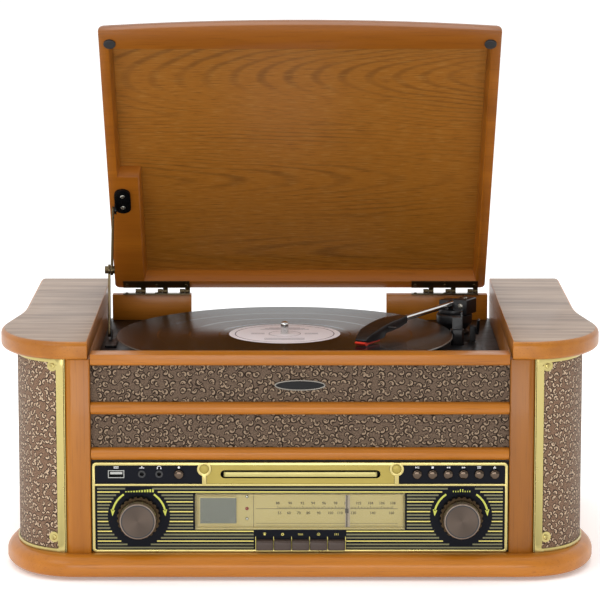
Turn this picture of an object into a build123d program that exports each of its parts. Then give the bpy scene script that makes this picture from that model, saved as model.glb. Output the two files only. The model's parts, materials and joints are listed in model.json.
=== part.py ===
"""Stereo music centre: a wooden cabinet with a control panel in front, curved cloth corners, a record
player under a hinged lid, a disc drawer, five source keys and two large knobs.

Millimetres, +Z up, +Y to the back. The origin is on the surface it stands on, under the middle of the
cabinet. It stands as it is used, with the lid propped open on its stay and the tone arm on the record.
"""
import os
from math import atan2, cos, degrees, radians, sin, sqrt

from build123d import *

os.makedirs("parts", exist_ok=True)

# ---------------------------------------------------------------- driving dimensions
# Cabinet
cabinet_depth = 345.0         # columns to back edge
bay_width = 360.0             # between the two side caps, where the lid closes
cover_thickness = 3.0         # bottom cover, which the cabinet stands on
cover_inset = 12.0
plinth_height = 18.5
plinth_overhang = 13.5        # the plinth stands out this far in front of the columns
plinth_flat = 190.0           # half of the plinth's straight front
panel_height = 78.2           # control panel with its rim
rail_height = 10.8            # the two half-round rails
lower_band_height = 28.6      # cloth between the two rails
upper_band_height = 31.9      # cloth between the upper rail and the top rail
top_rail_height = 9.6
top_rail_depth = 21.0
rail_rise = 4.2               # the top rail stands this much above the columns
cap_thickness = 15.8
cap_overhang = 2.5
cap_flat = 15.0               # straight part of a cap's front edge
column_width = 21.5
column_depth = 22.0
wall_thickness = 10.0         # boards beside the record player
side_thickness = 9.0
board_thickness = 12.0        # front board behind cloth and panel
cloth_thickness = 2.5
well_depth = 26.7             # top rail down to the deck
deck_thickness = 3.0
back_thickness = 5.0
fit_gap = 0.2                 # between boards that are fitted by hand
run_gap = 0.3                 # between pieces that move past each other

# Curved corners
corner_start_y = 3.0          # the cloth starts this far behind the columns' front
corner_heading = 12.0         # its first direction, degrees from the X axis
corner_arcs = ((50.0, 50.0), (88.0, 30.0))    # radius, turn in degrees
corner_depth = 125.0          # where the cloth corner meets the side board
corner_board = 4.0
brass_strip = 4.5             # upright strips of the brass frame
brass_edge = 3.0              # its top and bottom strips
brass_sheet = 1.2
corner_tab = 7.0              # radius of the tabs that the frame's screws go through

# Control panel
rim_width = 2.2
panel_plate = 5.0
panel_inset = 3.0             # panel face behind the columns' front
divider_rise = 58.9           # brass line above the panel's lower edge
divider_width = 1.6
knob_spacing = 274.8
knob_rise = 31.5
knob_face_d = 31.0
knob_skirt_d = 36.8
knob_height = 21.0
knob_flutes = 24
shaft_d = 6.0
button_d = 7.6
button_travel = 1.2
button_proud = 2.6
key_pitch = 15.35
key_width = 14.3
key_height = 8.6
key_travel = 2.0
key_proud = 6.0
dial_width = 179.5
dial_height = 32.0
dial_rise = 19.4
pointer_x = 40.0
pointer_width = 1.0
lcd_width = 31.6
lcd_height = 23.6
slot_width = 136.3            # mouth of the disc drawer
slot_height = 7.0
slot_rise = 68.2
tray_width = 130.8
tray_thickness = 4.2
tray_length = 134.0
disc_d = 120.0
roundel_d = 12.0

# Record player
record_d = 302.0
record_x = -13.8
record_y = 171.6              # behind the columns' front
record_thickness = 2.0
record_lift = 13.0            # underside of the record above the deck
label_d = 100.0
platter_d = 198.0
spindle_d = 7.1
spindle_rise = 26.4           # tip above the deck
hub_ring_d = 120.0
pivot_x = 143.0
pivot_y = 262.0
arm_reach = 176.8             # arm pivot to stylus
arm_radius = 92.4             # stylus to the record's centre, as it plays
arm_tube_d = 5.0
arm_height = 28.0             # centre line of the tube above the deck
shell_length = 77.0
park_turn = 30.0              # arm swings this far outwards to its rest
cue_depth = 222.0             # cue lever's axle behind the columns' front

# Lid
lid_open = 49.2               # degrees up from closed
lid_reach = 346.7             # hinge line to the front corners
lid_bow = 7.5                 # the front edge bows forward this much
lid_side_gap = 4.5            # to each cap
lid_gap = 2.1                 # closed lid above the top rail
lid_board = 4.0
lid_frame_depth = 11.5
lid_side_rail = 8.5
lid_front_rail = 21.4
lid_back_rail = 9.5
lid_back_gap = 2.2            # hinge line to the lid's back edge
recess_draft = 15.0           # slope of the recess walls, degrees
stay_block_width = 19.0
stay_block_length = 158.6     # from the hinge line
hinge_inset = 4.0             # hinge line ahead of the cabinet's back
hinge_length = 63.0
hinge_leaf = 1.2
knuckle_d = 4.0
knuckle_pitch = 21.0
knuckle_width = 4.9
pin_d = 1.8
block_depth = 12.0
stay_lid_u = 122.0            # stay pivot on the lid, from the hinge line
stay_lid_drop = 7.6           # and below the lid's underside
stay_deck_y = 220.0           # stay pivot on the deck, behind the columns' front
stay_foot_depth = 184.0       # front end of the stay's foot on the deck
stay_deck_rise = 7.0
stay_arm = 57.95              # pivot to pivot, both arms
stay_wall_gap = 7.0           # outer face of the upper arm to the wall beside it
stay_sheet = 2.0

# ---------------------------------------------------------------- levels and places worked out from them
front = -cabinet_depth / 2
back = cabinet_depth / 2
plinth_top = cover_thickness + plinth_height
panel_bottom = plinth_top + run_gap
panel_top = panel_bottom + panel_height
low_rail_bottom = panel_top + 2.0
low_rail_top = low_rail_bottom + rail_height
mid_rail_bottom = low_rail_top + lower_band_height
mid_rail_top = mid_rail_bottom + rail_height
top_rail_bottom = mid_rail_top + upper_band_height
top_rail_top = top_rail_bottom + top_rail_height
column_top = top_rail_top - rail_rise
cap_top = column_top + cap_thickness
deck_top = top_rail_top - well_depth
half_bay = bay_width / 2
column_inner = half_bay - 2.0
column_outer = column_inner + column_width
rail_half = column_inner - fit_gap
board_face = front + 8.0
panel_face = front + panel_inset
panel_back = panel_face + panel_plate
divider_z = panel_bottom + divider_rise
knob_z = panel_bottom + knob_rise
dial_z = panel_bottom + dial_rise + dial_height / 2
slot_z = panel_bottom + slot_rise
button_z = slot_z


def finish(piece, name):
    """Label a finished piece and write it to its own file."""
    piece.part.label = name
    export_step(piece.part, f"parts/{name}.step")


def facing(y):
    """Upright plane at depth y that faces the front: local x is X, local y is Z."""
    return Plane.XZ.offset(-y)


def run_on(start, heading, runs):
    """Draw arcs (radius, turn) and straights (length, 0) that follow each other smoothly."""
    at = Vector(*start)
    for size, turn in runs:
        along = Vector(cos(radians(heading)), sin(radians(heading)))
        run = Line(at, at + along * size) if turn == 0 else JernArc(at, along, size, turn)
        at = run @ 1
        heading += turn
    return at


# ---------------------------------------------------------------- plinth and bottom cover
# Bulging end of the plinth, from its straight front round to the cabinet's side
plinth_end = ((58.0, 60.0), (113.0, 38.0), (39.4, 0.0), (300.0, -8.0))
with BuildPart() as base_board:
    with BuildSketch(Plane.XY.offset(cover_thickness)):
        with BuildLine():
            plinth_front = front - plinth_overhang
            Line((0, plinth_front), (plinth_flat, plinth_front))
            side = run_on((plinth_flat, plinth_front), 0, plinth_end)
            Polyline((side.X, side.Y), (side.X, back), (0, back), (0, plinth_front))
        make_face()
        mirror(about=Plane.YZ)
    extrude(amount=plinth_height)
    rounded = base_board.edges().filter_by(Plane.XY).filter_by_position(Axis.Y, front * 2, back - 1)
    fillet(rounded.group_by(Axis.Z)[-1], plinth_height * 0.55)
    fillet(rounded.group_by(Axis.Z)[0], plinth_height * 0.25)
finish(base_board, "base_board")

with BuildPart() as bottom_cover:
    with BuildSketch():
        with Locations((0, -cover_inset / 4)):
            RectangleRounded(2 * plinth_flat, cabinet_depth - 1.5 * cover_inset, cover_inset)
    extrude(amount=cover_thickness)
finish(bottom_cover, "bottom_cover")

# ---------------------------------------------------------------- columns, rails, boards
with BuildPart() as columns:
    with BuildSketch(Plane.XY.offset(plinth_top)):
        with Locations((column_inner + column_width / 2, front + column_depth / 2)):
            Rectangle(column_width, column_depth)
    extrude(amount=column_top - plinth_top)
    uprights = columns.edges().filter_by(Axis.Z).group_by(Axis.Y)[0].sort_by(Axis.X)
    fillet(uprights[-1], 6.0)
    fillet(uprights[0], 1.5)
    mirror(about=Plane.YZ)
finish(columns, "columns")

with BuildPart() as front_rails:
    for bottom in (low_rail_bottom, mid_rail_bottom):
        with BuildSketch(Plane.YZ.offset(-rail_half)):
            with BuildLine():
                nose = rail_height / 2
                Line((front + nose, bottom), (board_face, bottom))
                Line((board_face, bottom), (board_face, bottom + rail_height))
                Line((board_face, bottom + rail_height), (front + nose, bottom + rail_height))
                ThreePointArc((front + nose, bottom + rail_height), (front, bottom + nose),
                              (front + nose, bottom))
            make_face()
        extrude(amount=2 * rail_half)
    with BuildSketch(Plane.YZ.offset(-rail_half)):
        with Locations((front + top_rail_depth / 2, top_rail_bottom + top_rail_height / 2)):
            top_section = Rectangle(top_rail_depth, top_rail_height)
        fillet(top_section.vertices().group_by(Axis.Y)[0], 3.2)
    extrude(amount=2 * rail_half)
finish(front_rails, "front_rails")

opening_bottom = panel_bottom + 1.0
opening_top = panel_top - 3.5
with BuildPart() as front_board:
    with BuildSketch(facing(board_face)):
        with Locations((0, (plinth_top + top_rail_bottom) / 2)):
            Rectangle(2 * rail_half, top_rail_bottom - plinth_top)
        with Locations((0, (opening_bottom + opening_top) / 2)):
            Rectangle(2 * (column_inner - 5.5), opening_top - opening_bottom, mode=Mode.SUBTRACT)
    extrude(amount=-board_thickness)
finish(front_board, "front_board")

with BuildPart() as fabric_bands:
    with BuildSketch(facing(board_face)):
        for bottom, height in ((low_rail_top, lower_band_height), (mid_rail_top, upper_band_height)):
            with Locations((0, bottom + height / 2)):
                Rectangle(2 * rail_half, height - fit_gap)
    extrude(amount=cloth_thickness)
finish(fabric_bands, "fabric_bands")

wall_front = front + column_depth + fit_gap
back_face = back - back_thickness - 3.0
with BuildPart() as inner_walls:
    with BuildSketch(Plane.XY.offset(plinth_top)):
        with Locations((half_bay + wall_thickness / 2, (wall_front + back_face) / 2)):
            Rectangle(wall_thickness, back_face - wall_front)
    extrude(amount=column_top - plinth_top)
    mirror(about=Plane.YZ)
finish(inner_walls, "inner_walls")

# ---------------------------------------------------------------- side caps
cap_end = ((57.0, 58.0), (106.0, 42.0), (35.9, 0.0), (320.0, -10.0))
with BuildPart() as side_caps:
    with BuildSketch(Plane.XY.offset(column_top)):
        with BuildLine():
            cap_front = front - cap_overhang
            Line((half_bay, cap_front), (half_bay + cap_flat, cap_front))
            side = run_on((half_bay + cap_flat, cap_front), 0, cap_end)
            Polyline((side.X, side.Y), (side.X, back), (half_bay, back), (half_bay, cap_front))
        make_face()
    extrude(amount=cap_thickness)
    rounded = side_caps.edges().filter_by(Plane.XY).filter_by_position(Axis.Y, front * 2, back - 1)
    rounded = rounded.filter_by_position(Axis.X, half_bay + 1, half_bay * 2)
    fillet(rounded.group_by(Axis.Z)[-1], cap_thickness * 0.32)
    fillet(rounded.group_by(Axis.Z)[0], cap_thickness * 0.22)
    mirror(about=Plane.YZ)
finish(side_caps, "side_caps")

# ---------------------------------------------------------------- curved corners
corner_x = column_outer + fit_gap + corner_board * sin(radians(corner_heading))


def corner_path(inset):
    """Points and runs of the corner curve, inset towards the cabinet's inside."""
    turn = radians(corner_heading)
    start = (corner_x - inset * sin(turn), front + corner_start_y + inset * cos(turn))
    return start, tuple((radius - inset, turn) for radius, turn in corner_arcs)


def corner_band(outer, inner, end_y):
    """Draw the closed strip between two insets of the corner curve; return its outermost X."""
    ends = []
    for inset in (outer, inner):
        start, arcs = corner_path(inset)
        end = run_on(start, corner_heading, arcs)
        Line((end.X, end.Y), (end.X, end_y))
        ends.append((start, (end.X, end_y)))
    Line(ends[0][0], ends[1][0])
    Line(ends[0][1], ends[1][1])
    return ends[0][1][0]


def corner_point(inset, heading):
    """Point of the inset corner curve where it runs in the given heading."""
    start, arcs = corner_path(inset)
    begin = corner_heading
    centre = Vector(*start)
    for radius, turn in arcs:
        centre += Vector(-sin(radians(begin)), cos(radians(begin))) * radius
        if heading <= begin + turn:
            return centre + Vector(sin(radians(heading)), -cos(radians(heading))) * radius
        begin += turn
        centre += Vector(sin(radians(begin)), -cos(radians(begin))) * radius
    return centre


corner_end = front + corner_depth
with BuildPart() as grille_boards:
    with BuildSketch(Plane.XY.offset(plinth_top)):
        with BuildLine():
            side_x = corner_band(0, corner_board, corner_end)
        make_face()
    extrude(amount=column_top - plinth_top)
    mirror(about=Plane.YZ)
finish(grille_boards, "grille_boards")

# Brass frame round the cloth: a bent sheet with a window, and a tab for a screw in each corner
frame_gap = 0.1
frame_top = column_top - fit_gap
frame_bottom = plinth_top + fit_gap
frame_height = frame_top - frame_bottom
corner_normal = Vector(sin(radians(corner_heading)), -cos(radians(corner_heading)))
corner_along = Vector(cos(radians(corner_heading)), sin(radians(corner_heading)))
with BuildPart() as grille_frames:
    with BuildSketch(Plane.XY.offset(frame_bottom)):
        with BuildLine():
            corner_band(-frame_gap - brass_sheet, -frame_gap, corner_end)
        make_face()
    extrude(amount=frame_height)
    with BuildSketch(Plane.XY.offset(frame_bottom + brass_edge)) as window:
        with BuildLine():
            start, arcs = corner_path(0)
            begin = Vector(*start) + corner_along * brass_strip
            first = Line(begin + corner_normal * 4, begin - corner_normal * 2)
            window_end = corner_end - brass_strip
            Polyline(first @ 0, (half_bay * 2, first.start_point().Y), (half_bay * 2, window_end),
                     (side_x - 2, window_end), first @ 1)
        make_face()
    extrude(amount=frame_height - 2 * brass_edge, mode=Mode.SUBTRACT)
    with BuildSketch(Plane(origin=Vector(*corner_path(-frame_gap)[0]),
                           x_dir=corner_along, z_dir=corner_normal)):
        for z in (frame_bottom, frame_top):
            with Locations((0, z)):
                Circle(corner_tab)
        with Locations((-corner_tab, (frame_bottom + frame_top) / 2)):
            Rectangle(2 * corner_tab, frame_height * 2, mode=Mode.SUBTRACT)
        for z in (frame_bottom - corner_tab, frame_top + corner_tab):
            with Locations((0, z)):
                Rectangle(4 * corner_tab, 2 * corner_tab, mode=Mode.SUBTRACT)
    extrude(amount=brass_sheet)
    with BuildSketch(Plane.YZ.offset(side_x + frame_gap)):
        for z in (frame_bottom, frame_top):
            with Locations((corner_end, z)):
                Circle(corner_tab)
        with Locations((corner_end + corner_tab, (frame_bottom + frame_top) / 2)):
            Rectangle(2 * corner_tab, frame_height * 2, mode=Mode.SUBTRACT)
        for z in (frame_bottom - corner_tab, frame_top + corner_tab):
            with Locations((corner_end, z)):
                Rectangle(4 * corner_tab, 2 * corner_tab, mode=Mode.SUBTRACT)
    extrude(amount=brass_sheet)
    mirror(about=Plane.YZ)
finish(grille_frames, "grille_frames")

with BuildPart() as side_walls:
    with BuildSketch(Plane.XY.offset(plinth_top)):
        wall_start = corner_end + fit_gap
        with Locations((side_x - side_thickness / 2, (wall_start + back - 0.5) / 2)):
            Rectangle(side_thickness, back - 0.5 - wall_start)
    extrude(amount=column_top - plinth_top)
    mirror(about=Plane.YZ)
finish(side_walls, "side_walls")

# ---------------------------------------------------------------- loudspeakers behind the cloth
speaker_z = (plinth_top + column_top) / 2
speaker_headings = (17.0, 82.0)   # the mounting plate bridges the corner curve between these
speaker_plate = (92.0, 2.0)
cone_d = 52.0
magnet_d = 30.0
speaker_depth = 26.0
plate_ends = [corner_point(corner_board + run_gap, heading) for heading in speaker_headings]
across = (plate_ends[1] - plate_ends[0]).normalized()
aim = Vector(across.Y, -across.X)
with BuildPart() as speakers:
    plate_middle = (plate_ends[0] + plate_ends[1]) / 2
    mouth = Plane(origin=(plate_middle.X, plate_middle.Y, speaker_z), x_dir=across, z_dir=aim)
    with BuildSketch(mouth):
        Rectangle((plate_ends[1] - plate_ends[0]).length, speaker_plate[0])
        Circle(cone_d / 2 - 3, mode=Mode.SUBTRACT)
    extrude(amount=-speaker_plate[1])
    with BuildSketch(mouth.offset(-speaker_plate[1])):
        Circle(cone_d / 2)
    with BuildSketch(mouth.offset(-speaker_depth * 0.6)):
        Circle(magnet_d / 2)
    loft()
    with BuildSketch(mouth.offset(-speaker_depth * 0.6)):
        Circle(magnet_d / 2)
    extrude(amount=-speaker_depth * 0.4)
    mirror(about=Plane.YZ)
finish(speakers, "speakers")

# ---------------------------------------------------------------- back of the cabinet
vent_rows = 6
lead_hole_d = 6.4
gland_d = 14.0
lead_x = -120.0
lead_z = plinth_top + 20.0
phono_x = 70.0
phono_pitch = 16.0
phono_z = plinth_top + 24.0
phono_d = 8.3
with BuildPart() as back_panel:
    with BuildSketch(facing(back_face)):
        with Locations((0, (plinth_top + column_top) / 2)):
            Rectangle(2 * (side_x - side_thickness - fit_gap), column_top - plinth_top)
        with Locations((0, column_top)):
            Rectangle(bay_width, 2 * (column_top - deck_top + deck_thickness + fit_gap), mode=Mode.SUBTRACT)
        with Locations((0, plinth_top + 90)):
            with GridLocations(60, 9, 3, vent_rows):
                SlotOverall(48, 3.2, mode=Mode.SUBTRACT)
        with Locations((lead_x, lead_z)):
            Circle(gland_d / 2 - 2, mode=Mode.SUBTRACT)
        with Locations((phono_x, phono_z)):
            with GridLocations(phono_pitch, 1, 2, 1):
                Circle(phono_d / 2 + fit_gap, mode=Mode.SUBTRACT)
    extrude(amount=-back_thickness)
finish(back_panel, "back_panel")

with BuildPart() as rear_sockets:
    outer_face = back_face + back_thickness
    with BuildSketch(facing(outer_face)):
        with Locations((lead_x, lead_z)):
            Circle(gland_d / 2)
    extrude(amount=-3)
    with BuildSketch(facing(outer_face)):
        with Locations((lead_x, lead_z)):
            Circle(gland_d / 2 - 2 - fit_gap)
    extrude(amount=back_thickness + 2)
    with BuildSketch(facing(outer_face - 20)):
        with Locations((lead_x, lead_z)):
            Circle(lead_hole_d / 2)
    extrude(amount=-40, mode=Mode.SUBTRACT)
    with BuildSketch(facing(outer_face)):
        with Locations((phono_x, phono_z)):
            RectangleRounded(2 * phono_pitch, phono_pitch, 2)
    extrude(amount=-1)
    for end, radius in ((7, phono_d / 2), (-back_thickness - 6, phono_d / 2)):
        with BuildSketch(facing(outer_face)):
            with Locations((phono_x, phono_z)):
                with GridLocations(phono_pitch, 1, 2, 1):
                    Circle(radius)
        extrude(amount=-end)
    with BuildSketch(facing(outer_face + 7)):
        with Locations((phono_x, phono_z)):
            with GridLocations(phono_pitch, 1, 2, 1):
                Circle(1.6)
    extrude(amount=9, mode=Mode.SUBTRACT)
finish(rear_sockets, "rear_sockets")

power_board_size = (190.0, 110.0)
with BuildPart() as power_board:
    board_plane = Plane.XY.offset(plinth_top + 6)
    with BuildSketch(board_plane):
        with Locations((-30, 90)):
            Rectangle(*power_board_size)
    extrude(amount=1.6)
    with BuildSketch(Plane.XY.offset(plinth_top)):
        with Locations((-30, 90)):
            with GridLocations(power_board_size[0] - 14, power_board_size[1] - 14, 2, 2):
                Circle(4)
    extrude(amount=6)
    with BuildSketch(board_plane.offset(1.6)):
        with Locations((-95, 95)):
            Rectangle(48, 42)
    extrude(amount=38)
    with BuildSketch(board_plane.offset(1.6)):
        with Locations((30, 120)):
            with GridLocations(6, 1, 8, 1):
                Rectangle(1.6, 24)
    extrude(amount=28)
    with BuildSketch(board_plane.offset(1.6)):
        with Locations((-20, 75), (2, 75)):
            Circle(8)
    extrude(amount=26)
finish(power_board, "power_board")

# ---------------------------------------------------------------- control panel
panel_z = panel_bottom + panel_height / 2
rim_half = column_inner - 1.1
plate_half = rim_half - rim_width
knob_xs = (-knob_spacing / 2, knob_spacing / 2)
roundel_xs = (-81.5, 82.3)
roundel_z = panel_top - 5.5
stem_width = 3.6              # the roundel's stem down to the dividing line
lone_button_x = -103.1
button_xs = (99.7, 112.9, 126.1, 139.3, 152.5, 165.7)
usb_x = -156.5
usb_size = (13.8, 6.7)
jack_xs = (-134.7, -119.9)
jack_d = 6.4
jack_bore_d = 3.6
jack_depth = 12.0
key_bottom = panel_bottom + 2.6
key_xs = [0.5 + key_pitch * k for k in range(-2, 3)]
slot_x = 0.4
upper_top = panel_top - rim_width
divider_top = divider_z + divider_width / 2

with BuildPart() as fascia_rim:
    rim_face = panel_face - 1.0
    with BuildSketch(facing(board_face)):
        with Locations((0, panel_z)):
            RectangleRounded(2 * rim_half, panel_height, 3.5)
            RectangleRounded(2 * plate_half, panel_height - 2 * rim_width, 1.8, mode=Mode.SUBTRACT)
    extrude(amount=board_face - rim_face)
    with BuildSketch(facing(panel_face)):
        with Locations((0, divider_z)):
            Rectangle(2 * plate_half + 1, divider_width)
    extrude(amount=1.0)
    with BuildSketch(facing(panel_face - 0.6)):
        for x in roundel_xs:
            with Locations((x, roundel_z)):
                Circle(roundel_d / 2)
                Circle(roundel_d * 0.36, mode=Mode.SUBTRACT)
            with Locations((x, (roundel_z - roundel_d / 2 + divider_z) / 2)):
                Rectangle(stem_width, roundel_z - roundel_d / 2 - divider_z + 0.6)
        with Locations((0, panel_top + roundel_d / 2)):
            Rectangle(2 * rim_half, roundel_d, mode=Mode.SUBTRACT)
    extrude(amount=1.2)
    with BuildSketch(facing(panel_face - 0.6)):
        for x in roundel_xs:
            with Locations((x, roundel_z)):
                Circle(roundel_d * 0.36)
    extrude(amount=0.5)
finish(fascia_rim, "fascia_rim")

plate_top = panel_top - rim_width
plate_bottom = panel_bottom + rim_width
with BuildPart() as control_fascia:
    with BuildSketch(facing(panel_back)):
        with Locations((0, panel_z)):
            RectangleRounded(2 * plate_half - fit_gap, plate_top - plate_bottom - fit_gap, 1.7)
        with Locations((slot_x, slot_z)):
            SlotOverall(slot_width, slot_height, mode=Mode.SUBTRACT)
        with Locations((0, dial_z)):
            Rectangle(dial_width, dial_height, mode=Mode.SUBTRACT)
        with Locations((key_xs[2], key_bottom + key_height / 2)):
            Rectangle(4 * key_pitch + key_width + 2 * run_gap, key_height + 2 * run_gap, mode=Mode.SUBTRACT)
        for x in knob_xs:
            with Locations((x, knob_z)):
                Circle(shaft_d / 2 + 0.1, mode=Mode.SUBTRACT)
        for x in (lone_button_x, *button_xs):
            with Locations((x, button_z)):
                Circle(button_d / 2 + run_gap, mode=Mode.SUBTRACT)
        for x in jack_xs:
            with Locations((x, button_z)):
                Circle(jack_d / 2 + fit_gap / 2, mode=Mode.SUBTRACT)
        with Locations((usb_x, button_z)):
            Rectangle(usb_size[0] + fit_gap, usb_size[1] + fit_gap, mode=Mode.SUBTRACT)
    extrude(amount=panel_plate)
finish(control_fascia, "control_fascia")

with BuildPart() as disc_fascia:
    with BuildSketch(facing(panel_face)):
        low, high = divider_top + fit_gap, upper_top - fit_gap
        with Locations((sum(roundel_xs) / 2, (low + high) / 2)):
            Rectangle(roundel_xs[1] - roundel_xs[0] - stem_width - 2 * fit_gap, high - low)
        with Locations((slot_x, slot_z)):
            SlotOverall(slot_width, slot_height, mode=Mode.SUBTRACT)
        for x in roundel_xs:
            with Locations((x, roundel_z)):
                Circle(roundel_d / 2 + fit_gap, mode=Mode.SUBTRACT)
    extrude(amount=0.6)
finish(disc_fascia, "disc_fascia")

with BuildPart() as front_sockets:
    with BuildSketch(facing(panel_face - 0.4)):
        with Locations((usb_x, button_z)):
            Rectangle(*usb_size)
            Rectangle(usb_size[0] - 1.2, usb_size[1] - 1.2, mode=Mode.SUBTRACT)
    extrude(amount=-14)
    with BuildSketch(facing(panel_face + 13.6)):
        with Locations((usb_x, button_z)):
            Rectangle(*usb_size)
    extrude(amount=1)
    with BuildSketch(facing(panel_face + 13.6)):
        with Locations((usb_x, button_z + 0.6)):
            Rectangle(usb_size[0] - 3.4, 2.0)
    extrude(amount=12.5)
    for x in jack_xs:
        with BuildSketch(facing(panel_face - 0.6)):
            with Locations((x, button_z)):
                Circle(jack_d / 2)
        extrude(amount=-jack_depth - 3)
        with BuildSketch(facing(panel_face - 0.6)):
            with Locations((x, button_z)):
                Circle(jack_bore_d / 2)
        extrude(amount=-jack_depth, mode=Mode.SUBTRACT)
finish(front_sockets, "front_sockets")


def knob(x):
    """Turned metal knob with a fluted skirt, on its shaft."""
    face = Plane(origin=(x, panel_face - run_gap, knob_z), x_dir=(1, 0, 0), z_dir=(0, -1, 0))
    with BuildPart() as turned:
        with BuildSketch(face):
            Circle(knob_skirt_d / 2)
            with PolarLocations(knob_skirt_d / 2 + 0.4, knob_flutes):
                Circle(1.5, mode=Mode.SUBTRACT)
        extrude(amount=knob_height * 0.38)
        with BuildSketch(face):
            Circle(knob_face_d / 2 + 1)
        extrude(amount=knob_height, taper=3)
        fillet(turned.edges().filter_by(GeomType.CIRCLE).group_by(Axis.Y)[0], 1.2)
        with BuildSketch(face.offset(knob_height)):
            Circle(knob_face_d / 2 - 3.4)
            Circle(knob_face_d / 2 - 4.6, mode=Mode.SUBTRACT)
        extrude(amount=-0.8, mode=Mode.SUBTRACT)
        with BuildSketch(face):
            Circle(shaft_d / 2)
        extrude(amount=-panel_plate - 6)
    return turned


for name, x in (("volume_knob", knob_xs[0]), ("tuning_knob", knob_xs[1])):
    finish(knob(x), name)


def round_button(x):
    """Domed button with a stem and a collar that keeps it behind the panel."""
    outside = Plane(origin=(x, panel_face, button_z), x_dir=(1, 0, 0), z_dir=(0, -1, 0))
    with BuildPart() as pressed:
        with BuildSketch(outside.offset(button_proud)):
            Circle(button_d / 2)
        extrude(amount=-button_proud - panel_plate - fit_gap)
        fillet(pressed.edges().group_by(Axis.Y)[0], 1.0)
        with BuildSketch(outside.offset(-panel_plate - fit_gap)):
            Circle(button_d / 2 + 1)
        extrude(amount=-1.5)
    return pressed


button_names = ("record_button", "play_button", "stop_button", "back_button", "skip_button",
                "program_button", "open_button")
for name, x in zip(button_names, (lone_button_x, *button_xs)):
    finish(round_button(x), name)


def source_key(x):
    """Piano key with a rounded lower front edge and a wider tail behind the panel."""
    with BuildPart() as key:
        with BuildSketch(facing(panel_face - key_proud)):
            with Locations((x, key_bottom + key_height / 2)):
                Rectangle(key_width, key_height)
        extrude(amount=-key_proud - panel_plate - 3)
        fillet(key.edges().filter_by(Axis.X).group_by(Axis.Y)[0].sort_by(Axis.Z)[-1], 3.0)
        fillet(key.edges().filter_by(Axis.X).group_by(Axis.Y)[0].sort_by(Axis.Z)[0], 1.0)
        with BuildSketch(facing(panel_back + fit_gap)):
            with Locations((x, key_bottom + key_height / 2 + 1)):
                Rectangle(key_width, key_height + 2)
        extrude(amount=-2.8)
    return key


for name, x in zip(("tuner_key", "disc_key", "tape_key", "phono_key", "tone_key"), key_xs):
    finish(source_key(x), name)

# Dial: a lit box with a printed plate, a display, a pointer and a clear window
dial_wall = 1.5
glass_front = panel_face + 0.5
glass_thickness = 1.0
pointer_front = glass_front + glass_thickness + run_gap + 0.2
pointer_thickness = 1.0
dial_floor = pointer_front + pointer_thickness + run_gap + 1.0
dial_outer = (dial_width - 2 * fit_gap, dial_height - 2 * fit_gap)
with BuildPart() as dial_plate:
    with BuildSketch(facing(glass_front + glass_thickness)):
        with Locations((0, dial_z)):
            Rectangle(*dial_outer)
            Rectangle(dial_outer[0] - 2 * dial_wall, dial_outer[1] - 2 * dial_wall, mode=Mode.SUBTRACT)
    extrude(amount=-(dial_floor - glass_front - glass_thickness))
    with BuildSketch(facing(dial_floor)):
        with Locations((0, dial_z)):
            Rectangle(*dial_outer)
    extrude(amount=-3)
    with BuildSketch(facing(dial_floor)):
        with Locations((-dial_width / 2 + lcd_width / 2 + 3.5, dial_z + 1)):
            Rectangle(lcd_width, lcd_height)
    extrude(amount=2)
finish(dial_plate, "dial_plate")

with BuildPart() as dial_glass:
    with BuildSketch(facing(glass_front)):
        with Locations((0, dial_z)):
            Rectangle(*dial_outer)
    extrude(amount=-glass_thickness)
finish(dial_glass, "dial_glass")

with BuildPart() as tuning_pointer:
    with BuildSketch(facing(pointer_front)):
        with Locations((pointer_x, dial_z)):
            Rectangle(pointer_width, dial_outer[1] - 2 * dial_wall - 2 * run_gap)
    extrude(amount=-pointer_thickness)
    with BuildSketch(facing(pointer_front + pointer_thickness)):
        with Locations((pointer_x, dial_z)):
            Rectangle(pointer_width * 3, 4)
    extrude(amount=-1.0)
finish(tuning_pointer, "tuning_pointer")

# Disc drawer and the mechanism that carries it
tray_half = tray_width / 2
tunnel_wall = 6.0
with BuildPart() as disc_drawer:
    tray_bottom = slot_z - tray_thickness / 2
    with BuildSketch(Plane.XY.offset(tray_bottom)):
        with Locations((slot_x, panel_face - 1.8 + tray_length / 2)):
            RectangleRounded(tray_width, tray_length, 2)
    extrude(amount=tray_thickness)
    recess_y = panel_face + disc_d / 2 + 6
    with BuildSketch(Plane.XY.offset(tray_bottom + tray_thickness)):
        with Locations((slot_x, recess_y)):
            Circle(disc_d / 2 + 1)
    extrude(amount=-1.8, mode=Mode.SUBTRACT)
    with BuildSketch(Plane.XY.offset(tray_bottom)):
        with Locations((slot_x, recess_y)):
            SlotCenterToCenter(36, 34, rotation=90)
    extrude(amount=tray_thickness, mode=Mode.SUBTRACT)
finish(disc_drawer, "disc_drawer")

with BuildPart() as disc_mechanism:
    mech_front = board_face + board_thickness
    with BuildSketch(facing(mech_front)):
        with Locations((slot_x, slot_z)):
            Rectangle(tray_width + 2 * tunnel_wall, tray_thickness + 20)
    extrude(amount=-tray_length - 8)
    with BuildSketch(facing(mech_front)):
        with Locations((slot_x, slot_z + 1)):
            Rectangle(tray_width + 2 * run_gap, tray_thickness + 2 * run_gap + 2)
    extrude(amount=-tray_length, mode=Mode.SUBTRACT)
finish(disc_mechanism, "disc_mechanism")

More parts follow.
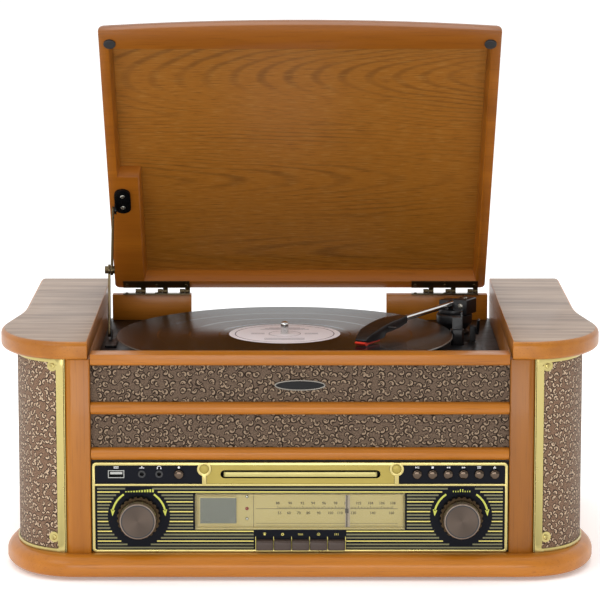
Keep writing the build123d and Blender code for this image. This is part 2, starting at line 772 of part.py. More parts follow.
# ---------------------------------------------------------------- record player
record_y_at = front + record_y
platter_top = deck_top + record_lift
record_top = platter_top + record_thickness
arm_z = deck_top + arm_height
pivot = Vector(pivot_x, front + pivot_y)
centre = Vector(record_x, record_y_at)
pivot_distance = (centre - pivot).length
cos_offset = (arm_reach**2 + pivot_distance**2 - arm_radius**2) / (2 * arm_reach * pivot_distance)
arm_heading = degrees(atan2(centre.Y - pivot.Y, centre.X - pivot.X) + atan2(sqrt(1 - cos_offset**2), cos_offset))
deck_half = half_bay - fit_gap
deck_front = front + max(top_rail_depth, column_depth) + fit_gap
motor_angle = 200.0
motor_ring = 80.0             # pulley's distance from the spindle
pulley_d = 10.0
belt_thickness = 1.0
motor_at = centre + Vector(cos(radians(motor_angle)), sin(radians(motor_angle))) * motor_ring
rest_distance = 60.0          # arm rest from the pivot
park_heading = radians(arm_heading + park_turn)
rest_at = pivot + Vector(cos(park_heading), sin(park_heading)) * rest_distance
post_size = (12.0, 12.0)
cue_x = 162.0
cue_y = front + cue_depth
cue_z = deck_top + 7.0
cue_blade = 2.4
cue_peg_d = 3.0

with BuildPart() as deck_plate:
    with BuildSketch(Plane.XY.offset(deck_top)):
        with Locations((0, (deck_front + back - 1) / 2)):
            Rectangle(2 * deck_half, back - 1 - deck_front)
        with Locations((motor_at.X, motor_at.Y)):
            Circle(pulley_d / 2 + 1, mode=Mode.SUBTRACT)
    extrude(amount=-deck_thickness)
    with BuildSketch(Plane.YZ.offset(cue_x - cue_blade / 2 - run_gap)):
        with Locations((cue_y, (deck_top + cue_z + 6.5) / 2)):
            Rectangle(9, cue_z + 6.5 - deck_top)
        with Locations((cue_y, cue_z + 2.5)):
            Circle(cue_peg_d / 2 + 0.06, mode=Mode.SUBTRACT)
    extrude(amount=-5)
finish(deck_plate, "deck_plate")

with BuildPart() as spindle:
    with BuildSketch(Plane((centre.X, centre.Y, deck_top))):
        Circle(9)
    extrude(amount=1.5)
    with BuildSketch(Plane((centre.X, centre.Y, deck_top))):
        Circle(spindle_d / 2)
    extrude(amount=spindle_rise)
    fillet(spindle.edges().group_by(Axis.Z)[-1], spindle_d * 0.42)
finish(spindle, "spindle")

platter_wall = 3.0
platter_bottom = deck_top + 2.0
hub_d = 16.0
with BuildPart() as platter:
    with BuildSketch(Plane((centre.X, centre.Y, platter_bottom))):
        Circle(platter_d / 2)
    extrude(amount=platter_top - platter_bottom)
    fillet(platter.edges().group_by(Axis.Z)[-1], 1.5)
    with BuildSketch(Plane((centre.X, centre.Y, platter_bottom))):
        Circle(platter_d / 2 - platter_wall)
        Circle(hub_d / 2, mode=Mode.SUBTRACT)
    extrude(amount=platter_top - platter_bottom - platter_wall, mode=Mode.SUBTRACT)
    with BuildSketch(Plane((centre.X, centre.Y, platter_bottom + 1))):
        Circle(hub_ring_d / 2)
        Circle(hub_ring_d / 2 - 2.5, mode=Mode.SUBTRACT)
    extrude(amount=platter_top - platter_bottom - platter_wall)
    with BuildSketch(Plane((centre.X, centre.Y, platter_bottom))):
        Circle(spindle_d / 2 + 0.06)
    extrude(amount=platter_top - platter_bottom, mode=Mode.SUBTRACT)
finish(platter, "platter")

with BuildPart() as record:
    with BuildSketch(Plane.XZ):
        hole, label, edge = spindle_d / 2 + 0.1, label_d / 2, record_d / 2
        with BuildLine():
            Polyline((hole, 0), (edge - 0.8, 0), (edge, 0.8), (edge - 0.6, record_thickness - 0.3),
                     (edge - 3, record_thickness - 0.4), (label + 2, record_thickness - 0.4),
                     (label, record_thickness), (hole, record_thickness), (hole, 0))
        make_face()
    revolve(axis=Axis.Z)
record.part = record.part.moved(Location((centre.X, centre.Y, platter_top)))
finish(record, "record")

with BuildPart() as drive_motor:
    with BuildSketch(Plane((motor_at.X, motor_at.Y, deck_top - deck_thickness))):
        Circle(17)
    extrude(amount=-24)
    fillet(drive_motor.edges().group_by(Axis.Z)[0], 2)
    with BuildSketch(Plane((motor_at.X, motor_at.Y, deck_top - deck_thickness))):
        Circle(pulley_d / 2 - 2)
    extrude(amount=deck_thickness + 2)
    with BuildSketch(Plane((motor_at.X, motor_at.Y, deck_top + 1.5))):
        Circle(pulley_d / 2)
    extrude(amount=7)
finish(drive_motor, "drive_motor")


def belt_outline(clearance):
    """Closed loop round the pulley and the platter's inner ring."""
    with Locations((motor_at.X, motor_at.Y)):
        Circle(pulley_d / 2 + clearance)
    with Locations((centre.X, centre.Y)):
        Circle(hub_ring_d / 2 + clearance)
    make_hull()


with BuildPart() as drive_belt:
    with BuildSketch(Plane.XY.offset(deck_top + 3.5)):
        belt_outline(run_gap + belt_thickness)
    extrude(amount=4)
    with BuildSketch(Plane.XY.offset(deck_top + 3.5)):
        belt_outline(run_gap)
    extrude(amount=4, mode=Mode.SUBTRACT)
finish(drive_belt, "drive_belt")

# Tone arm: drum, swinging gimbal, tube, shell with its pick-up, red stylus guard
arm_plane = Plane(origin=(pivot.X, pivot.Y, arm_z), x_dir=(cos(radians(arm_heading)), sin(radians(arm_heading)), 0),
                  z_dir=(0, 0, 1))
arm_side = Plane(origin=arm_plane.origin, x_dir=arm_plane.x_dir, z_dir=-arm_plane.y_dir)
drum_d = 33.0
drum_height = 19.0
with BuildPart() as arm_base:
    with BuildSketch(Plane.XZ):
        with BuildLine():
            Polyline((0, 0), (14, 0), (14, 2), (11, 4.5), (12.5, 6), (drum_d / 2, 11),
                     (drum_d / 2, drum_height - 1.2), (drum_d / 2 - 1.2, drum_height), (0, drum_height), (0, 0))
        make_face()
    revolve(axis=Axis.Z)
arm_base.part = arm_base.part.moved(Location((pivot.X, pivot.Y, deck_top)))
rest_plane = Plane((rest_at.X, rest_at.Y, deck_top))
cradle_top = arm_height - arm_tube_d / 2 - run_gap - 0.1
with BuildPart() as arm_rest:
    with BuildSketch(rest_plane):
        Rectangle(*post_size)
    extrude(amount=cradle_top * 0.56)
    fillet(arm_rest.edges().filter_by(Axis.Z), 2.5)
    with BuildSketch(rest_plane):
        Rectangle(9, 4)
    extrude(amount=cradle_top)
    with BuildSketch(rest_plane):
        with Locations((arm_tube_d / 2 + run_gap + 1.1, 0)):
            Rectangle(1.6, 4)
    extrude(amount=cradle_top + arm_tube_d)
with BuildPart() as arm_mount:
    add(arm_base.part)
    add(arm_rest.part)
finish(arm_mount, "arm_base")

yoke_gap = arm_tube_d / 2 + run_gap + 0.1
cross_pin_d = 2.4
cross_pin = 9.0
right_cube = (20.0, 13.8, 12.0)
left_cube = (15.0, 9.6, 8.4)
with BuildPart() as arm_gimbal:
    turntable = arm_plane.offset(drum_height + run_gap - arm_height)
    with BuildSketch(turntable):
        Circle(drum_d / 2 - 2)
    extrude(amount=arm_height - drum_height - 5.5)
    with BuildSketch(turntable):
        with Locations((-2, yoke_gap + right_cube[1] / 2)):
            Rectangle(right_cube[0], right_cube[1])
    extrude(amount=arm_height - drum_height + right_cube[2] / 2 - 1)
    with BuildSketch(turntable):
        with Locations((-1, -yoke_gap - left_cube[1] / 2)):
            Rectangle(left_cube[0], left_cube[1])
    extrude(amount=arm_height - drum_height + left_cube[2] / 2 - 1.5)
    chamfer(arm_gimbal.edges().filter_by(Plane.XY).group_by(Axis.Z)[-1], 0.8)
    with BuildSketch(arm_side.offset(-cross_pin - 1)):
        Circle(cross_pin_d / 2 + 0.06)
    extrude(amount=2 * cross_pin + 2, mode=Mode.SUBTRACT)
finish(arm_gimbal, "arm_gimbal")

shell_start = arm_reach - shell_length
with BuildPart() as arm_tube:
    with BuildSketch(Plane(origin=arm_plane.origin, x_dir=arm_plane.y_dir, z_dir=arm_plane.x_dir).offset(-9)):
        Circle(arm_tube_d / 2)
    extrude(amount=shell_start + 9)
    with BuildSketch(arm_side.offset(-cross_pin)):
        Circle(cross_pin_d / 2)
    extrude(amount=2 * cross_pin)
finish(arm_tube, "arm_tube")

shell_half = 8.5
stylus_gap = run_gap
tip_drop = arm_height - record_lift - record_thickness - stylus_gap
with BuildPart() as headshell:
    with BuildSketch(arm_side.offset(-shell_half)):
        with BuildLine():
            Spline((shell_start, 3.4), (shell_start + 28, 3.6), (shell_start + 55, 1.0), (arm_reach + 2, -7.6),
                   tangents=((1, 0), (1, -0.9)))
            Polyline((arm_reach + 2, -7.6), (arm_reach + 2, -9.0), (arm_reach - 3, -10.0),
                     (arm_reach - 26, -9.0), (arm_reach - 30, -5.5), (shell_start + 20, -4.2),
                     (shell_start, -3.4), (shell_start, 3.4))
        make_face()
    extrude(amount=2 * shell_half)
    with BuildSketch(arm_plane.offset(-20)):
        with BuildLine():
            ends = (shell_start, shell_start + 22, arm_reach - 14, arm_reach + 2)
            widths = (4.2, shell_half, shell_half, shell_half * 0.62)
            Polyline(*zip(ends, widths), *reversed([(x, -w) for x, w in zip(ends, widths)]), (ends[0], widths[0]))
        make_face()
    extrude(amount=40, mode=Mode.INTERSECT)
    with BuildSketch(arm_plane):
        with Locations((arm_reach - 34, shell_half + 3.5)):
            Rectangle(3.0, 9.0)
    extrude(amount=-1.2)
finish(headshell, "headshell")

with BuildPart() as stylus:
    with BuildSketch(arm_side.offset(-shell_half * 0.6)):
        with BuildLine():
            Polyline((arm_reach - 24, -9.3), (arm_reach - 3, -10.3), (arm_reach + 2, -9.3),
                     (arm_reach + 4, -10.4), (arm_reach + 1, -tip_drop), (arm_reach - 1, -tip_drop),
                     (arm_reach - 3, -tip_drop + 0.8), (arm_reach - 24, -tip_drop + 1.0), (arm_reach - 24, -9.3))
        make_face()
    extrude(amount=2 * shell_half * 0.6)
finish(stylus, "stylus")

# Cue lever: a curved blade on a small pedestal beside the arm
with BuildPart() as cue_lever:
    with BuildSketch(Plane.YZ.offset(cue_x - cue_blade / 2)):
        with BuildLine():
            blade = ThreePointArc((cue_y, cue_z), (cue_y - 14, cue_z + 4), (cue_y - 22, cue_z + 15))
            Line(blade @ 1, (cue_y - 18, cue_z + 16))
            ThreePointArc((cue_y - 18, cue_z + 16), (cue_y - 10, cue_z + 7), (cue_y, cue_z + 5))
            Line((cue_y, cue_z + 5), (cue_y, cue_z))
        make_face()
    extrude(amount=cue_blade)
    with BuildSketch(Plane.YZ.offset(cue_x - cue_blade / 2)):
        with Locations((cue_y, cue_z + 2.5)):
            Circle(4)
    extrude(amount=cue_blade)
    with BuildSketch(Plane.YZ.offset(cue_x - cue_blade / 2)):
        with Locations((cue_y, cue_z + 2.5)):
            Circle(cue_peg_d / 2)
    extrude(amount=-5)
finish(cue_lever, "cue_lever")

# ---------------------------------------------------------------- lid, hinges, stay
hinge_y = back - hinge_inset
hinge_z = top_rail_top
tilt = radians(lid_open)
lid_half = half_bay - lid_side_gap
# Local x is X, local y runs from the front edge back to the hinge line, local z out of the lid's top
lid_plane = Plane(origin=(0, hinge_y, hinge_z), x_dir=(1, 0, 0), z_dir=(0, sin(tilt), cos(tilt)))
lid_under = lid_plane.offset(lid_gap)
lid_seam = lid_under.offset(lid_frame_depth)
lid_corner = 5.0
lid_round = 14.0


with BuildSketch() as lid_outline:
    with BuildLine():
        sides = Polyline((-lid_half, -lid_reach), (-lid_half, -lid_back_gap), (lid_half, -lid_back_gap),
                         (lid_half, -lid_reach))
        ThreePointArc(sides @ 0, (0, -lid_reach - lid_bow), sides @ 1)
    make_face()

with BuildPart() as lid_envelope:
    with BuildSketch():
        add(lid_outline.sketch)
    extrude(amount=lid_frame_depth + lid_board)
    fillet(lid_envelope.edges().filter_by(Axis.Z).group_by(Axis.Y)[-1], lid_corner)
    fillet(lid_envelope.edges().group_by(Axis.Z)[-1], lid_round)
lid_envelope.part = lid_envelope.part.moved(lid_under.location)

with BuildPart() as lid_panel:
    add(lid_envelope.part)
    split(bisect_by=lid_seam, keep=Keep.TOP)
finish(lid_panel, "lid_panel")

inner_half = lid_half - lid_side_rail
recess_front = -lid_reach + lid_front_rail
recess_back = -lid_back_gap - lid_back_rail
with BuildPart() as lid_frame:
    add(lid_envelope.part)
    split(bisect_by=lid_seam, keep=Keep.BOTTOM)
    with BuildSketch(lid_under):
        with BuildLine():
            Polyline((-inner_half, recess_front), (inner_half, recess_front), (inner_half, recess_back),
                     (-inner_half + stay_block_width, recess_back), (-inner_half + stay_block_width, -stay_block_length),
                     (-inner_half, -stay_block_length), close=True)
        make_face()
    extrude(amount=lid_frame_depth, taper=recess_draft, mode=Mode.SUBTRACT)
finish(lid_frame, "lid_frame")

bumper_d = 10.6
bumper_u = 332.0
with BuildPart() as lid_bumpers:
    with BuildSketch():
        with Locations((-lid_half + 9.5, -bumper_u), (lid_half - 9.5, -bumper_u)):
            Circle(bumper_d / 2)
    extrude(amount=-lid_gap + run_gap)
    fillet(lid_bumpers.edges().group_by(Axis.Z)[0], 0.8)
lid_bumpers.part = lid_bumpers.part.moved(lid_under.location)
finish(lid_bumpers, "lid_bumpers")

block_top = top_rail_top - 2.1
block_spans = ((-rail_half, -103.0), (82.0, rail_half))
with BuildPart() as hinge_blocks:
    with BuildSketch(facing(back - block_depth)):
        for low, high in block_spans:
            with Locations(((low + high) / 2, (deck_top + block_top) / 2)):
                Rectangle(high - low, block_top - deck_top)
    extrude(amount=-(block_depth - 1))
finish(hinge_blocks, "hinge_blocks")

hinge_centres = (-136.2, 137.3)
knuckle_starts = [5.8 + knuckle_pitch * k - knuckle_width for k in (-1, 0, 1)]
leaf_depth = 10.0
pin_length = 2 * knuckle_width - 0.6


def knuckles(shift, radius, length):
    """Short cylinders along the hinge line, at each knuckle of both hinges."""
    with BuildPart() as rolls:
        for hinge_x in hinge_centres:
            for start in knuckle_starts:
                with BuildSketch(Plane.YZ.offset(hinge_x + start + shift)):
                    with Locations((hinge_y, hinge_z)):
                        Circle(radius)
                extrude(amount=length)
    return rolls.part


with BuildPart() as hinge_cabinet_leaves:
    with BuildSketch(Plane.XY.offset(block_top)):
        for hinge_x in hinge_centres:
            with Locations((hinge_x, hinge_y - knuckle_d / 2 - run_gap - leaf_depth / 2 + 0.2)):
                Rectangle(hinge_length, leaf_depth - 3)
            for start in knuckle_starts:
                with Locations((hinge_x + start + knuckle_width / 2, hinge_y - 3)):
                    Rectangle(knuckle_width, 6)
    extrude(amount=hinge_leaf)
    add(knuckles(0, knuckle_d / 2, knuckle_width))
    add(knuckles(0.3, pin_d / 2, pin_length))
finish(hinge_cabinet_leaves, "hinge_cabinet_leaves")

lid_knuckle_shift = knuckle_width + 0.2
with BuildPart() as hinge_lid_leaves:
    with BuildSketch(lid_under):
        for hinge_x in hinge_centres:
            with Locations((hinge_x, -lid_back_gap - leaf_depth / 2 - 0.6)):
                Rectangle(hinge_length, leaf_depth - 1.2)
            for start in knuckle_starts:
                with Locations((hinge_x + start + lid_knuckle_shift + knuckle_width / 2 - 0.1, -2)):
                    Rectangle(knuckle_width - 0.2, 4)
    extrude(amount=-hinge_leaf)
    add(knuckles(lid_knuckle_shift, knuckle_d / 2, knuckle_width - 0.2))
    add(knuckles(lid_knuckle_shift, pin_d / 2 + 0.06, knuckle_width - 0.2), mode=Mode.SUBTRACT)
finish(hinge_lid_leaves, "hinge_lid_leaves")

# Stay: bracket on the lid, two arms that fold forwards, bracket on the deck
stay_hole = 1.7
stay_end = 3.4
boss = 5.0
upper_outer = -half_bay + stay_wall_gap
lower_outer = upper_outer - stay_sheet - run_gap - 0.1


def lid_point(along, above):
    """Y and Z of a point of the lid, by its distance from the hinge line and above the lid plane."""
    return Vector(hinge_y - along * cos(tilt) + above * sin(tilt), hinge_z + along * sin(tilt) + above * cos(tilt))


lid_pin = lid_point(stay_lid_u, lid_gap - stay_lid_drop)
deck_pin = Vector(front + stay_deck_y, deck_top + stay_deck_rise)
between = lid_pin - deck_pin
knee_offset = sqrt(stay_arm**2 - (between.length / 2) ** 2)
knee = (lid_pin + deck_pin) / 2 + Vector(-between.Y, between.X).normalized() * knee_offset


def stay_bar(start, end, x, knee_reach):
    """Flat bar between two pivots, with a round boss at the knee and a hole at its other end."""
    along = end - start
    with BuildPart() as bar:
        with BuildSketch(Plane.YZ.offset(x)):
            with Locations(((start.X + end.X) / 2, (start.Y + end.Y) / 2)):
                SlotCenterToCenter(along.length, 2 * stay_end, rotation=degrees(atan2(along.Y, along.X)))
        extrude(amount=stay_sheet)
        with BuildSketch(Plane.YZ.offset(x)):
            with Locations((end.X, end.Y)):
                Circle(boss)
        extrude(amount=stay_sheet)
        with BuildSketch(Plane.YZ.offset(x + (stay_sheet if knee_reach > 0 else 0))):
            with Locations((end.X, end.Y)):
                Circle(boss - 1.5)
        extrude(amount=knee_reach)
        with BuildSketch(Plane.YZ.offset(x)):
            with Locations((start.X, start.Y)):
                Circle(stay_hole)
        extrude(amount=stay_sheet, mode=Mode.SUBTRACT)
    return bar


finish(stay_bar(lid_pin, knee, upper_outer, 1.6), "stay_upper_arm")
finish(stay_bar(deck_pin, knee, lower_outer, -3.0), "stay_lower_arm")

plate_x = (upper_outer + stay_sheet + run_gap, upper_outer + stay_sheet + run_gap + 15.0)
plate_u = (112.0, 143.0)
ear_sheet = 1.8
with BuildPart() as stay_lid_bracket:
    with BuildSketch(lid_under):
        with Locations(((plate_x[0] + plate_x[1]) / 2, -(plate_u[0] + plate_u[1]) / 2)):
            SlotOverall(plate_u[1] - plate_u[0], plate_x[1] - plate_x[0], rotation=90)
    extrude(amount=-3)
    with BuildSketch(Plane.YZ.offset(plate_x[0])):
        with Locations((lid_pin.X, lid_pin.Y)):
            Circle(4)
            with Locations(Location((0, 0), -lid_open)):
                with Locations((0, stay_lid_drop / 2)):
                    Rectangle(8, stay_lid_drop)
    extrude(amount=ear_sheet)
    with BuildSketch(Plane.YZ.offset(plate_x[0])):
        with Locations((lid_pin.X, lid_pin.Y)):
            Circle(stay_hole - 0.1)
    extrude(amount=-stay_sheet - run_gap)
finish(stay_lid_bracket, "stay_lid_bracket")

foot_start = front + stay_foot_depth
foot_end = deck_pin.X + 9
ear_x = lower_outer + stay_sheet + run_gap
with BuildPart() as stay_deck_bracket:
    with BuildSketch(Plane.XY.offset(deck_top)):
        with Locations(((lower_outer + 6.5 - 2.5), (foot_start + foot_end) / 2)):
            RectangleRounded(10.5, foot_end - foot_start, 2)
    extrude(amount=1.8)
    with BuildSketch(Plane.YZ.offset(ear_x)):
        with Locations((deck_pin.X, deck_pin.Y)):
            Circle(4)
        with Locations((deck_pin.X, (deck_top + deck_pin.Y) / 2)):
            Rectangle(8, deck_pin.Y - deck_top)
    extrude(amount=ear_sheet)
    with BuildSketch(Plane.YZ.offset(ear_x)):
        with Locations((deck_pin.X, deck_pin.Y)):
            Circle(stay_hole - 0.1)
    extrude(amount=-stay_sheet - run_gap)
finish(stay_deck_bracket, "stay_deck_bracket")
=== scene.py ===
"""Looks of the stereo music centre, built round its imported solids.

Metres, +Z up, +Y to the back, the origin under the middle of the cabinet. The sections follow the object as it
is put together: the wooden cabinet, its cloth and brass corners, the control panel, the record player, the lid.
"""
import json
import math

import bmesh
import bpy
from mathutils import Matrix, Vector

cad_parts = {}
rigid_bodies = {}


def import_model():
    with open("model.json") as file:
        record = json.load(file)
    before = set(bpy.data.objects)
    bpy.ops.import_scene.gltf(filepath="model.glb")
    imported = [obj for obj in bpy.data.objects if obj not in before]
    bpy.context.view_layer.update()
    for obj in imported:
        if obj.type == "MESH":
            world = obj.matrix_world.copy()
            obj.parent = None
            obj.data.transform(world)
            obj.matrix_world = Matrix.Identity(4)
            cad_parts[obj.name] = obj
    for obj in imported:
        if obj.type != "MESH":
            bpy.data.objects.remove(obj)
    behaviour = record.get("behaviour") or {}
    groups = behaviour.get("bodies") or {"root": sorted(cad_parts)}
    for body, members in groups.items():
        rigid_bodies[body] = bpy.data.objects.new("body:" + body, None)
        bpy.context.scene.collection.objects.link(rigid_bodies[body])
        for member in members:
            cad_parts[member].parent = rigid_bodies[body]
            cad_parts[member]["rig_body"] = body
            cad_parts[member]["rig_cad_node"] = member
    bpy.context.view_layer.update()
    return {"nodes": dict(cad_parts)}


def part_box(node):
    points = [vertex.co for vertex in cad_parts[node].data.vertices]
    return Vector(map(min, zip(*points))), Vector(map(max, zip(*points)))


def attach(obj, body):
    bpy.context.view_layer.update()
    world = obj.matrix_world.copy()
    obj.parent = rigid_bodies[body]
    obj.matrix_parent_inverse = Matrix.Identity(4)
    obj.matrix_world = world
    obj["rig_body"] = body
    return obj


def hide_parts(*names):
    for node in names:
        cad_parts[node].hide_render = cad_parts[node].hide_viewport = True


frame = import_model()
nodes = frame["nodes"]
bpy.ops.object.select_all(action="DESELECT")

# Camera: it stands 2.65 m before the cabinet and looks down 9.3 degrees through a long lens, as the
# photograph was taken.
looks_down = 9.27
bpy.ops.object.camera_add(location=(0, -2.8215, 0.673), rotation=(math.radians(90 - looks_down), 0, 0))
camera = bpy.context.object
camera.data.sensor_width = 36
camera.data.lens = 191.1
camera.data.clip_end = 60
bpy.context.scene.camera = camera
bpy.context.scene.view_settings.view_transform = "Standard"

# Studio: seamless white paper under and behind the cabinet, a large softbox before it at the upper left, a low
# wide one straight before it, one overhead, and white walls all round, which lacquer and record reflect.


def linear(code):
    """The linear colour of an sRGB hex value."""
    parts = [int(code[k:k + 2], 16) / 255 for k in (1, 3, 5)]
    return [p / 12.92 if p <= 0.04045 else ((p + 0.055) / 1.055) ** 2.4 for p in parts] + [1.0]


def feed(node, inputs):
    """Give inputs of a node or shader their values or links."""
    for name, value in inputs.items():
        if isinstance(value, bpy.types.NodeSocket):
            node.id_data.links.new(value, node.inputs[name])
        else:
            node.inputs[name].default_value = value


def add_node(tree, kind, settings={}, inputs={}):
    """Add a node with its settings and its inputs. A ramp takes its stops as a setting."""
    node = tree.nodes.new("ShaderNode" + kind)
    for name, value in settings.items():
        if name == "stops":
            ramp = node.color_ramp
            while len(ramp.elements) < len(value):
                ramp.elements.new(0.5)
            for element, (position, colour) in zip(ramp.elements, value):
                element.position, element.color = position, linear(colour)
        else:
            setattr(node, name, value)
    feed(node, inputs)
    return node


def new_material(name):
    """A new material with its node tree and its Principled shader."""
    material = bpy.data.materials.new(name)
    material.use_nodes = True
    return material, material.node_tree, material.node_tree.nodes["Principled BSDF"]


# The paper is matt and lit a little from within, so that it stays as white as in the photograph.
sweep, tree, shader = new_material("seamless_paper")
feed(shader, {"Base Color": linear("#FDFDFD"), "Roughness": 0.95, "Specular IOR Level": 0.1,
              "Emission Color": linear("#FFFFFF"), "Emission Strength": 0.22})
bpy.ops.mesh.primitive_plane_add(size=14, location=(0, 2, 0))
floor = bpy.context.object
floor.name = "floor"
floor.data.materials.append(sweep)

# The wall behind the camera is dimmer than the others, as the dark side of a studio is.
world = bpy.data.worlds.new("studio")
bpy.context.scene.world = world
world.use_nodes = True
tree = world.node_tree
looking = add_node(tree, "SeparateXYZ", {}, {0: add_node(tree, "TexCoord").outputs["Generated"]}).outputs[1]
lit = add_node(tree, "MapRange", {}, {"Value": looking, "From Min": -0.95, "From Max": -0.2,
                                      "To Min": 0.36, "To Max": 1.02})
feed(tree.nodes["Background"], {"Strength": lit.outputs[0], "Color": linear("#FFFFFF")})
for place, aim, width, height, watts in (
        ((-1.4, -1.6, 1.6), (0, 0, 0.15), 1.3, 1.3, 12),
        ((-0.1, -2.2, 0.34), (0, 0, 0.30), 1.6, 0.5, 13),
        ((0, 0.4, 2.2), (0, 0, 0.2), 1.6, 1.2, 16)):
    bpy.ops.object.light_add(type="AREA", location=place)
    lamp = bpy.context.object
    lamp.data.shape = "RECTANGLE"
    lamp.data.size, lamp.data.size_y, lamp.data.energy = width, height, watts
    lamp.rotation_euler = (Vector(aim) - Vector(place)).to_track_quat("-Z", "Y").to_euler()

# Plinth: one moulded board of hardwood, stained orange under satin lacquer, rounded over at its upper edge.
# The stain lies evenly, so the grain is faint, with fine darker pores that run along the board.
along_x, along_y, along_z = 0, 1, 2


def every(millimetres):
    """The texture scale of a pattern that repeats every so many millimetres."""
    return 1000 / millimetres


def stained_wood(name, pale, deep, pore, along, streak=4.0, rough=0.36, relief=0.00003, open_grain=0.35):
    """Stained hardwood under satin lacquer: soft streaks about as wide as given, in mm, along one axis.

    The pores are drawn 1.2 mm apart, several times as coarse as real ones, so that they show.
    """
    material, tree, shader = new_material(name)
    place = add_node(tree, "TexCoord").outputs["Object"]
    long, longer = [1, 1, 1], [1, 1, 1]
    long[along], longer[along] = 0.07, 0.03
    streaks = add_node(tree, "Mapping", {}, {"Vector": place, "Scale": long}).outputs[0]
    hairs = add_node(tree, "Mapping", {}, {"Vector": place, "Scale": longer}).outputs[0]
    cloudy = add_node(tree, "TexNoise", {}, {"Vector": streaks, "Scale": every(6 * streak), "Detail": 4.0,
                                             "Roughness": 0.55}).outputs["Fac"]
    fine = add_node(tree, "TexNoise", {}, {"Vector": hairs, "Scale": every(1.2), "Detail": 2.0,
                                           "Roughness": 0.6}).outputs["Fac"]
    base = add_node(tree, "ValToRGB", {"stops": [(0.3, deep), (0.72, pale)]}, {"Fac": cloudy})
    pores = add_node(tree, "ValToRGB", {"stops": [(0.56, "#000000"), (0.72, "#FFFFFF")]}, {"Fac": fine})
    share = add_node(tree, "Math", {"operation": "MULTIPLY"}, {0: pores.outputs["Color"], 1: open_grain})
    colour = add_node(tree, "Mix", {"data_type": "RGBA"},
                      {0: share.outputs[0], 6: base.outputs["Color"], 7: linear(pore)})
    bump = add_node(tree, "Bump", {"invert": True}, {"Strength": 0.35, "Distance": relief, "Height": fine})
    feed(shader, {"Base Color": colour.outputs[2], "Normal": bump.outputs[0], "Roughness": rough,
                  "Specular IOR Level": 0.3, "Coat Weight": 0.14, "Coat Roughness": 0.12})
    return material


def finished(node, material, body, edge=0.0, turn=32):
    """A merged copy of a solid with smooth sides and softened edges, which stands for it."""
    piece = nodes[node].copy()
    piece.data = nodes[node].data.copy()
    piece.name = node + "_finished"
    bpy.context.scene.collection.objects.link(piece)
    piece.parent = None
    piece.data.materials.clear()
    piece.data.materials.append(material)
    bpy.ops.object.select_all(action="DESELECT")
    bpy.context.view_layer.objects.active = piece
    piece.select_set(True)
    bpy.ops.object.mode_set(mode="EDIT")
    bpy.ops.mesh.select_all(action="SELECT")
    bpy.ops.mesh.customdata_custom_splitnormals_clear()
    bpy.ops.mesh.remove_doubles(threshold=0.000002)
    if edge:
        bpy.ops.mesh.dissolve_limited(angle_limit=math.radians(0.6))
    bpy.ops.object.mode_set(mode="OBJECT")
    if edge:
        bevel = piece.modifiers.new("soft_edge", "BEVEL")
        bevel.width, bevel.segments, bevel.limit_method = edge, 2, "ANGLE"
        bevel.angle_limit = math.radians(turn)
        bpy.ops.object.modifier_apply(modifier="soft_edge")
    bpy.ops.object.shade_smooth_by_angle(angle=math.radians(turn))
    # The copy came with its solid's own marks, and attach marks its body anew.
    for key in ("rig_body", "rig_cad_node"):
        if key in piece:
            del piece[key]
    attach(piece, body)
    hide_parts(node)
    return piece


plinth_wood = stained_wood("stained_hardwood_plinth", "#BE761F", "#A56218", "#74420E", along_x)
finished("base_board", plinth_wood, "cabinet")

# Bottom cover: a thin black board under the plinth, on which the cabinet stands. Its paint is matt and takes
# the grain of the board.


def surface(name, code, rough, metal=0.0, coat=0.0, grit=0.6667, relief=0.000008, uneven=0.15, shine=0.5):
    """One plain finish with a grit in its relief and a polish that varies over some 14 mm.

    The grit is in millimetres. A real one is finer, and this is as coarse as it needs to show.
    """
    material, tree, shader = new_material(name)
    place = add_node(tree, "TexCoord").outputs["Object"]
    fine = add_node(tree, "TexNoise", {}, {"Vector": place, "Scale": every(grit), "Detail": 2.0})
    broad = add_node(tree, "TexNoise", {}, {"Vector": place, "Scale": every(14.29), "Detail": 3.0})
    polish = add_node(tree, "MapRange", {}, {"Value": broad.outputs["Fac"], "From Min": 0.3, "From Max": 0.7,
                                             "To Min": rough * (1 - uneven), "To Max": rough * (1 + uneven)})
    bump = add_node(tree, "Bump", {}, {"Strength": 0.4, "Distance": relief, "Height": fine.outputs["Fac"]})
    feed(shader, {"Roughness": polish.outputs[0], "Normal": bump.outputs[0], "Base Color": linear(code),
                  "Metallic": metal, "Specular IOR Level": shine, "Coat Weight": coat, "Coat Roughness": 0.06})
    return material


dark_board = surface("black_painted_board", "#1F1C1A", 0.7, relief=0.00004)
finished("bottom_cover", dark_board, "cabinet")

# Columns, rails and hinge blocks: the same stained hardwood, the columns with upright grain and well rounded
# outer front edges, the rails and blocks with grain along them. The right column is painted darker: painted
# shade.


def painted(piece, material, test):
    """Give the faces of a piece that pass a test of their centre and normal another material."""
    piece.data.materials.append(material)
    for face in piece.data.polygons:
        if test(face.center, face.normal):
            face.material_index = len(piece.data.materials) - 1
    return piece


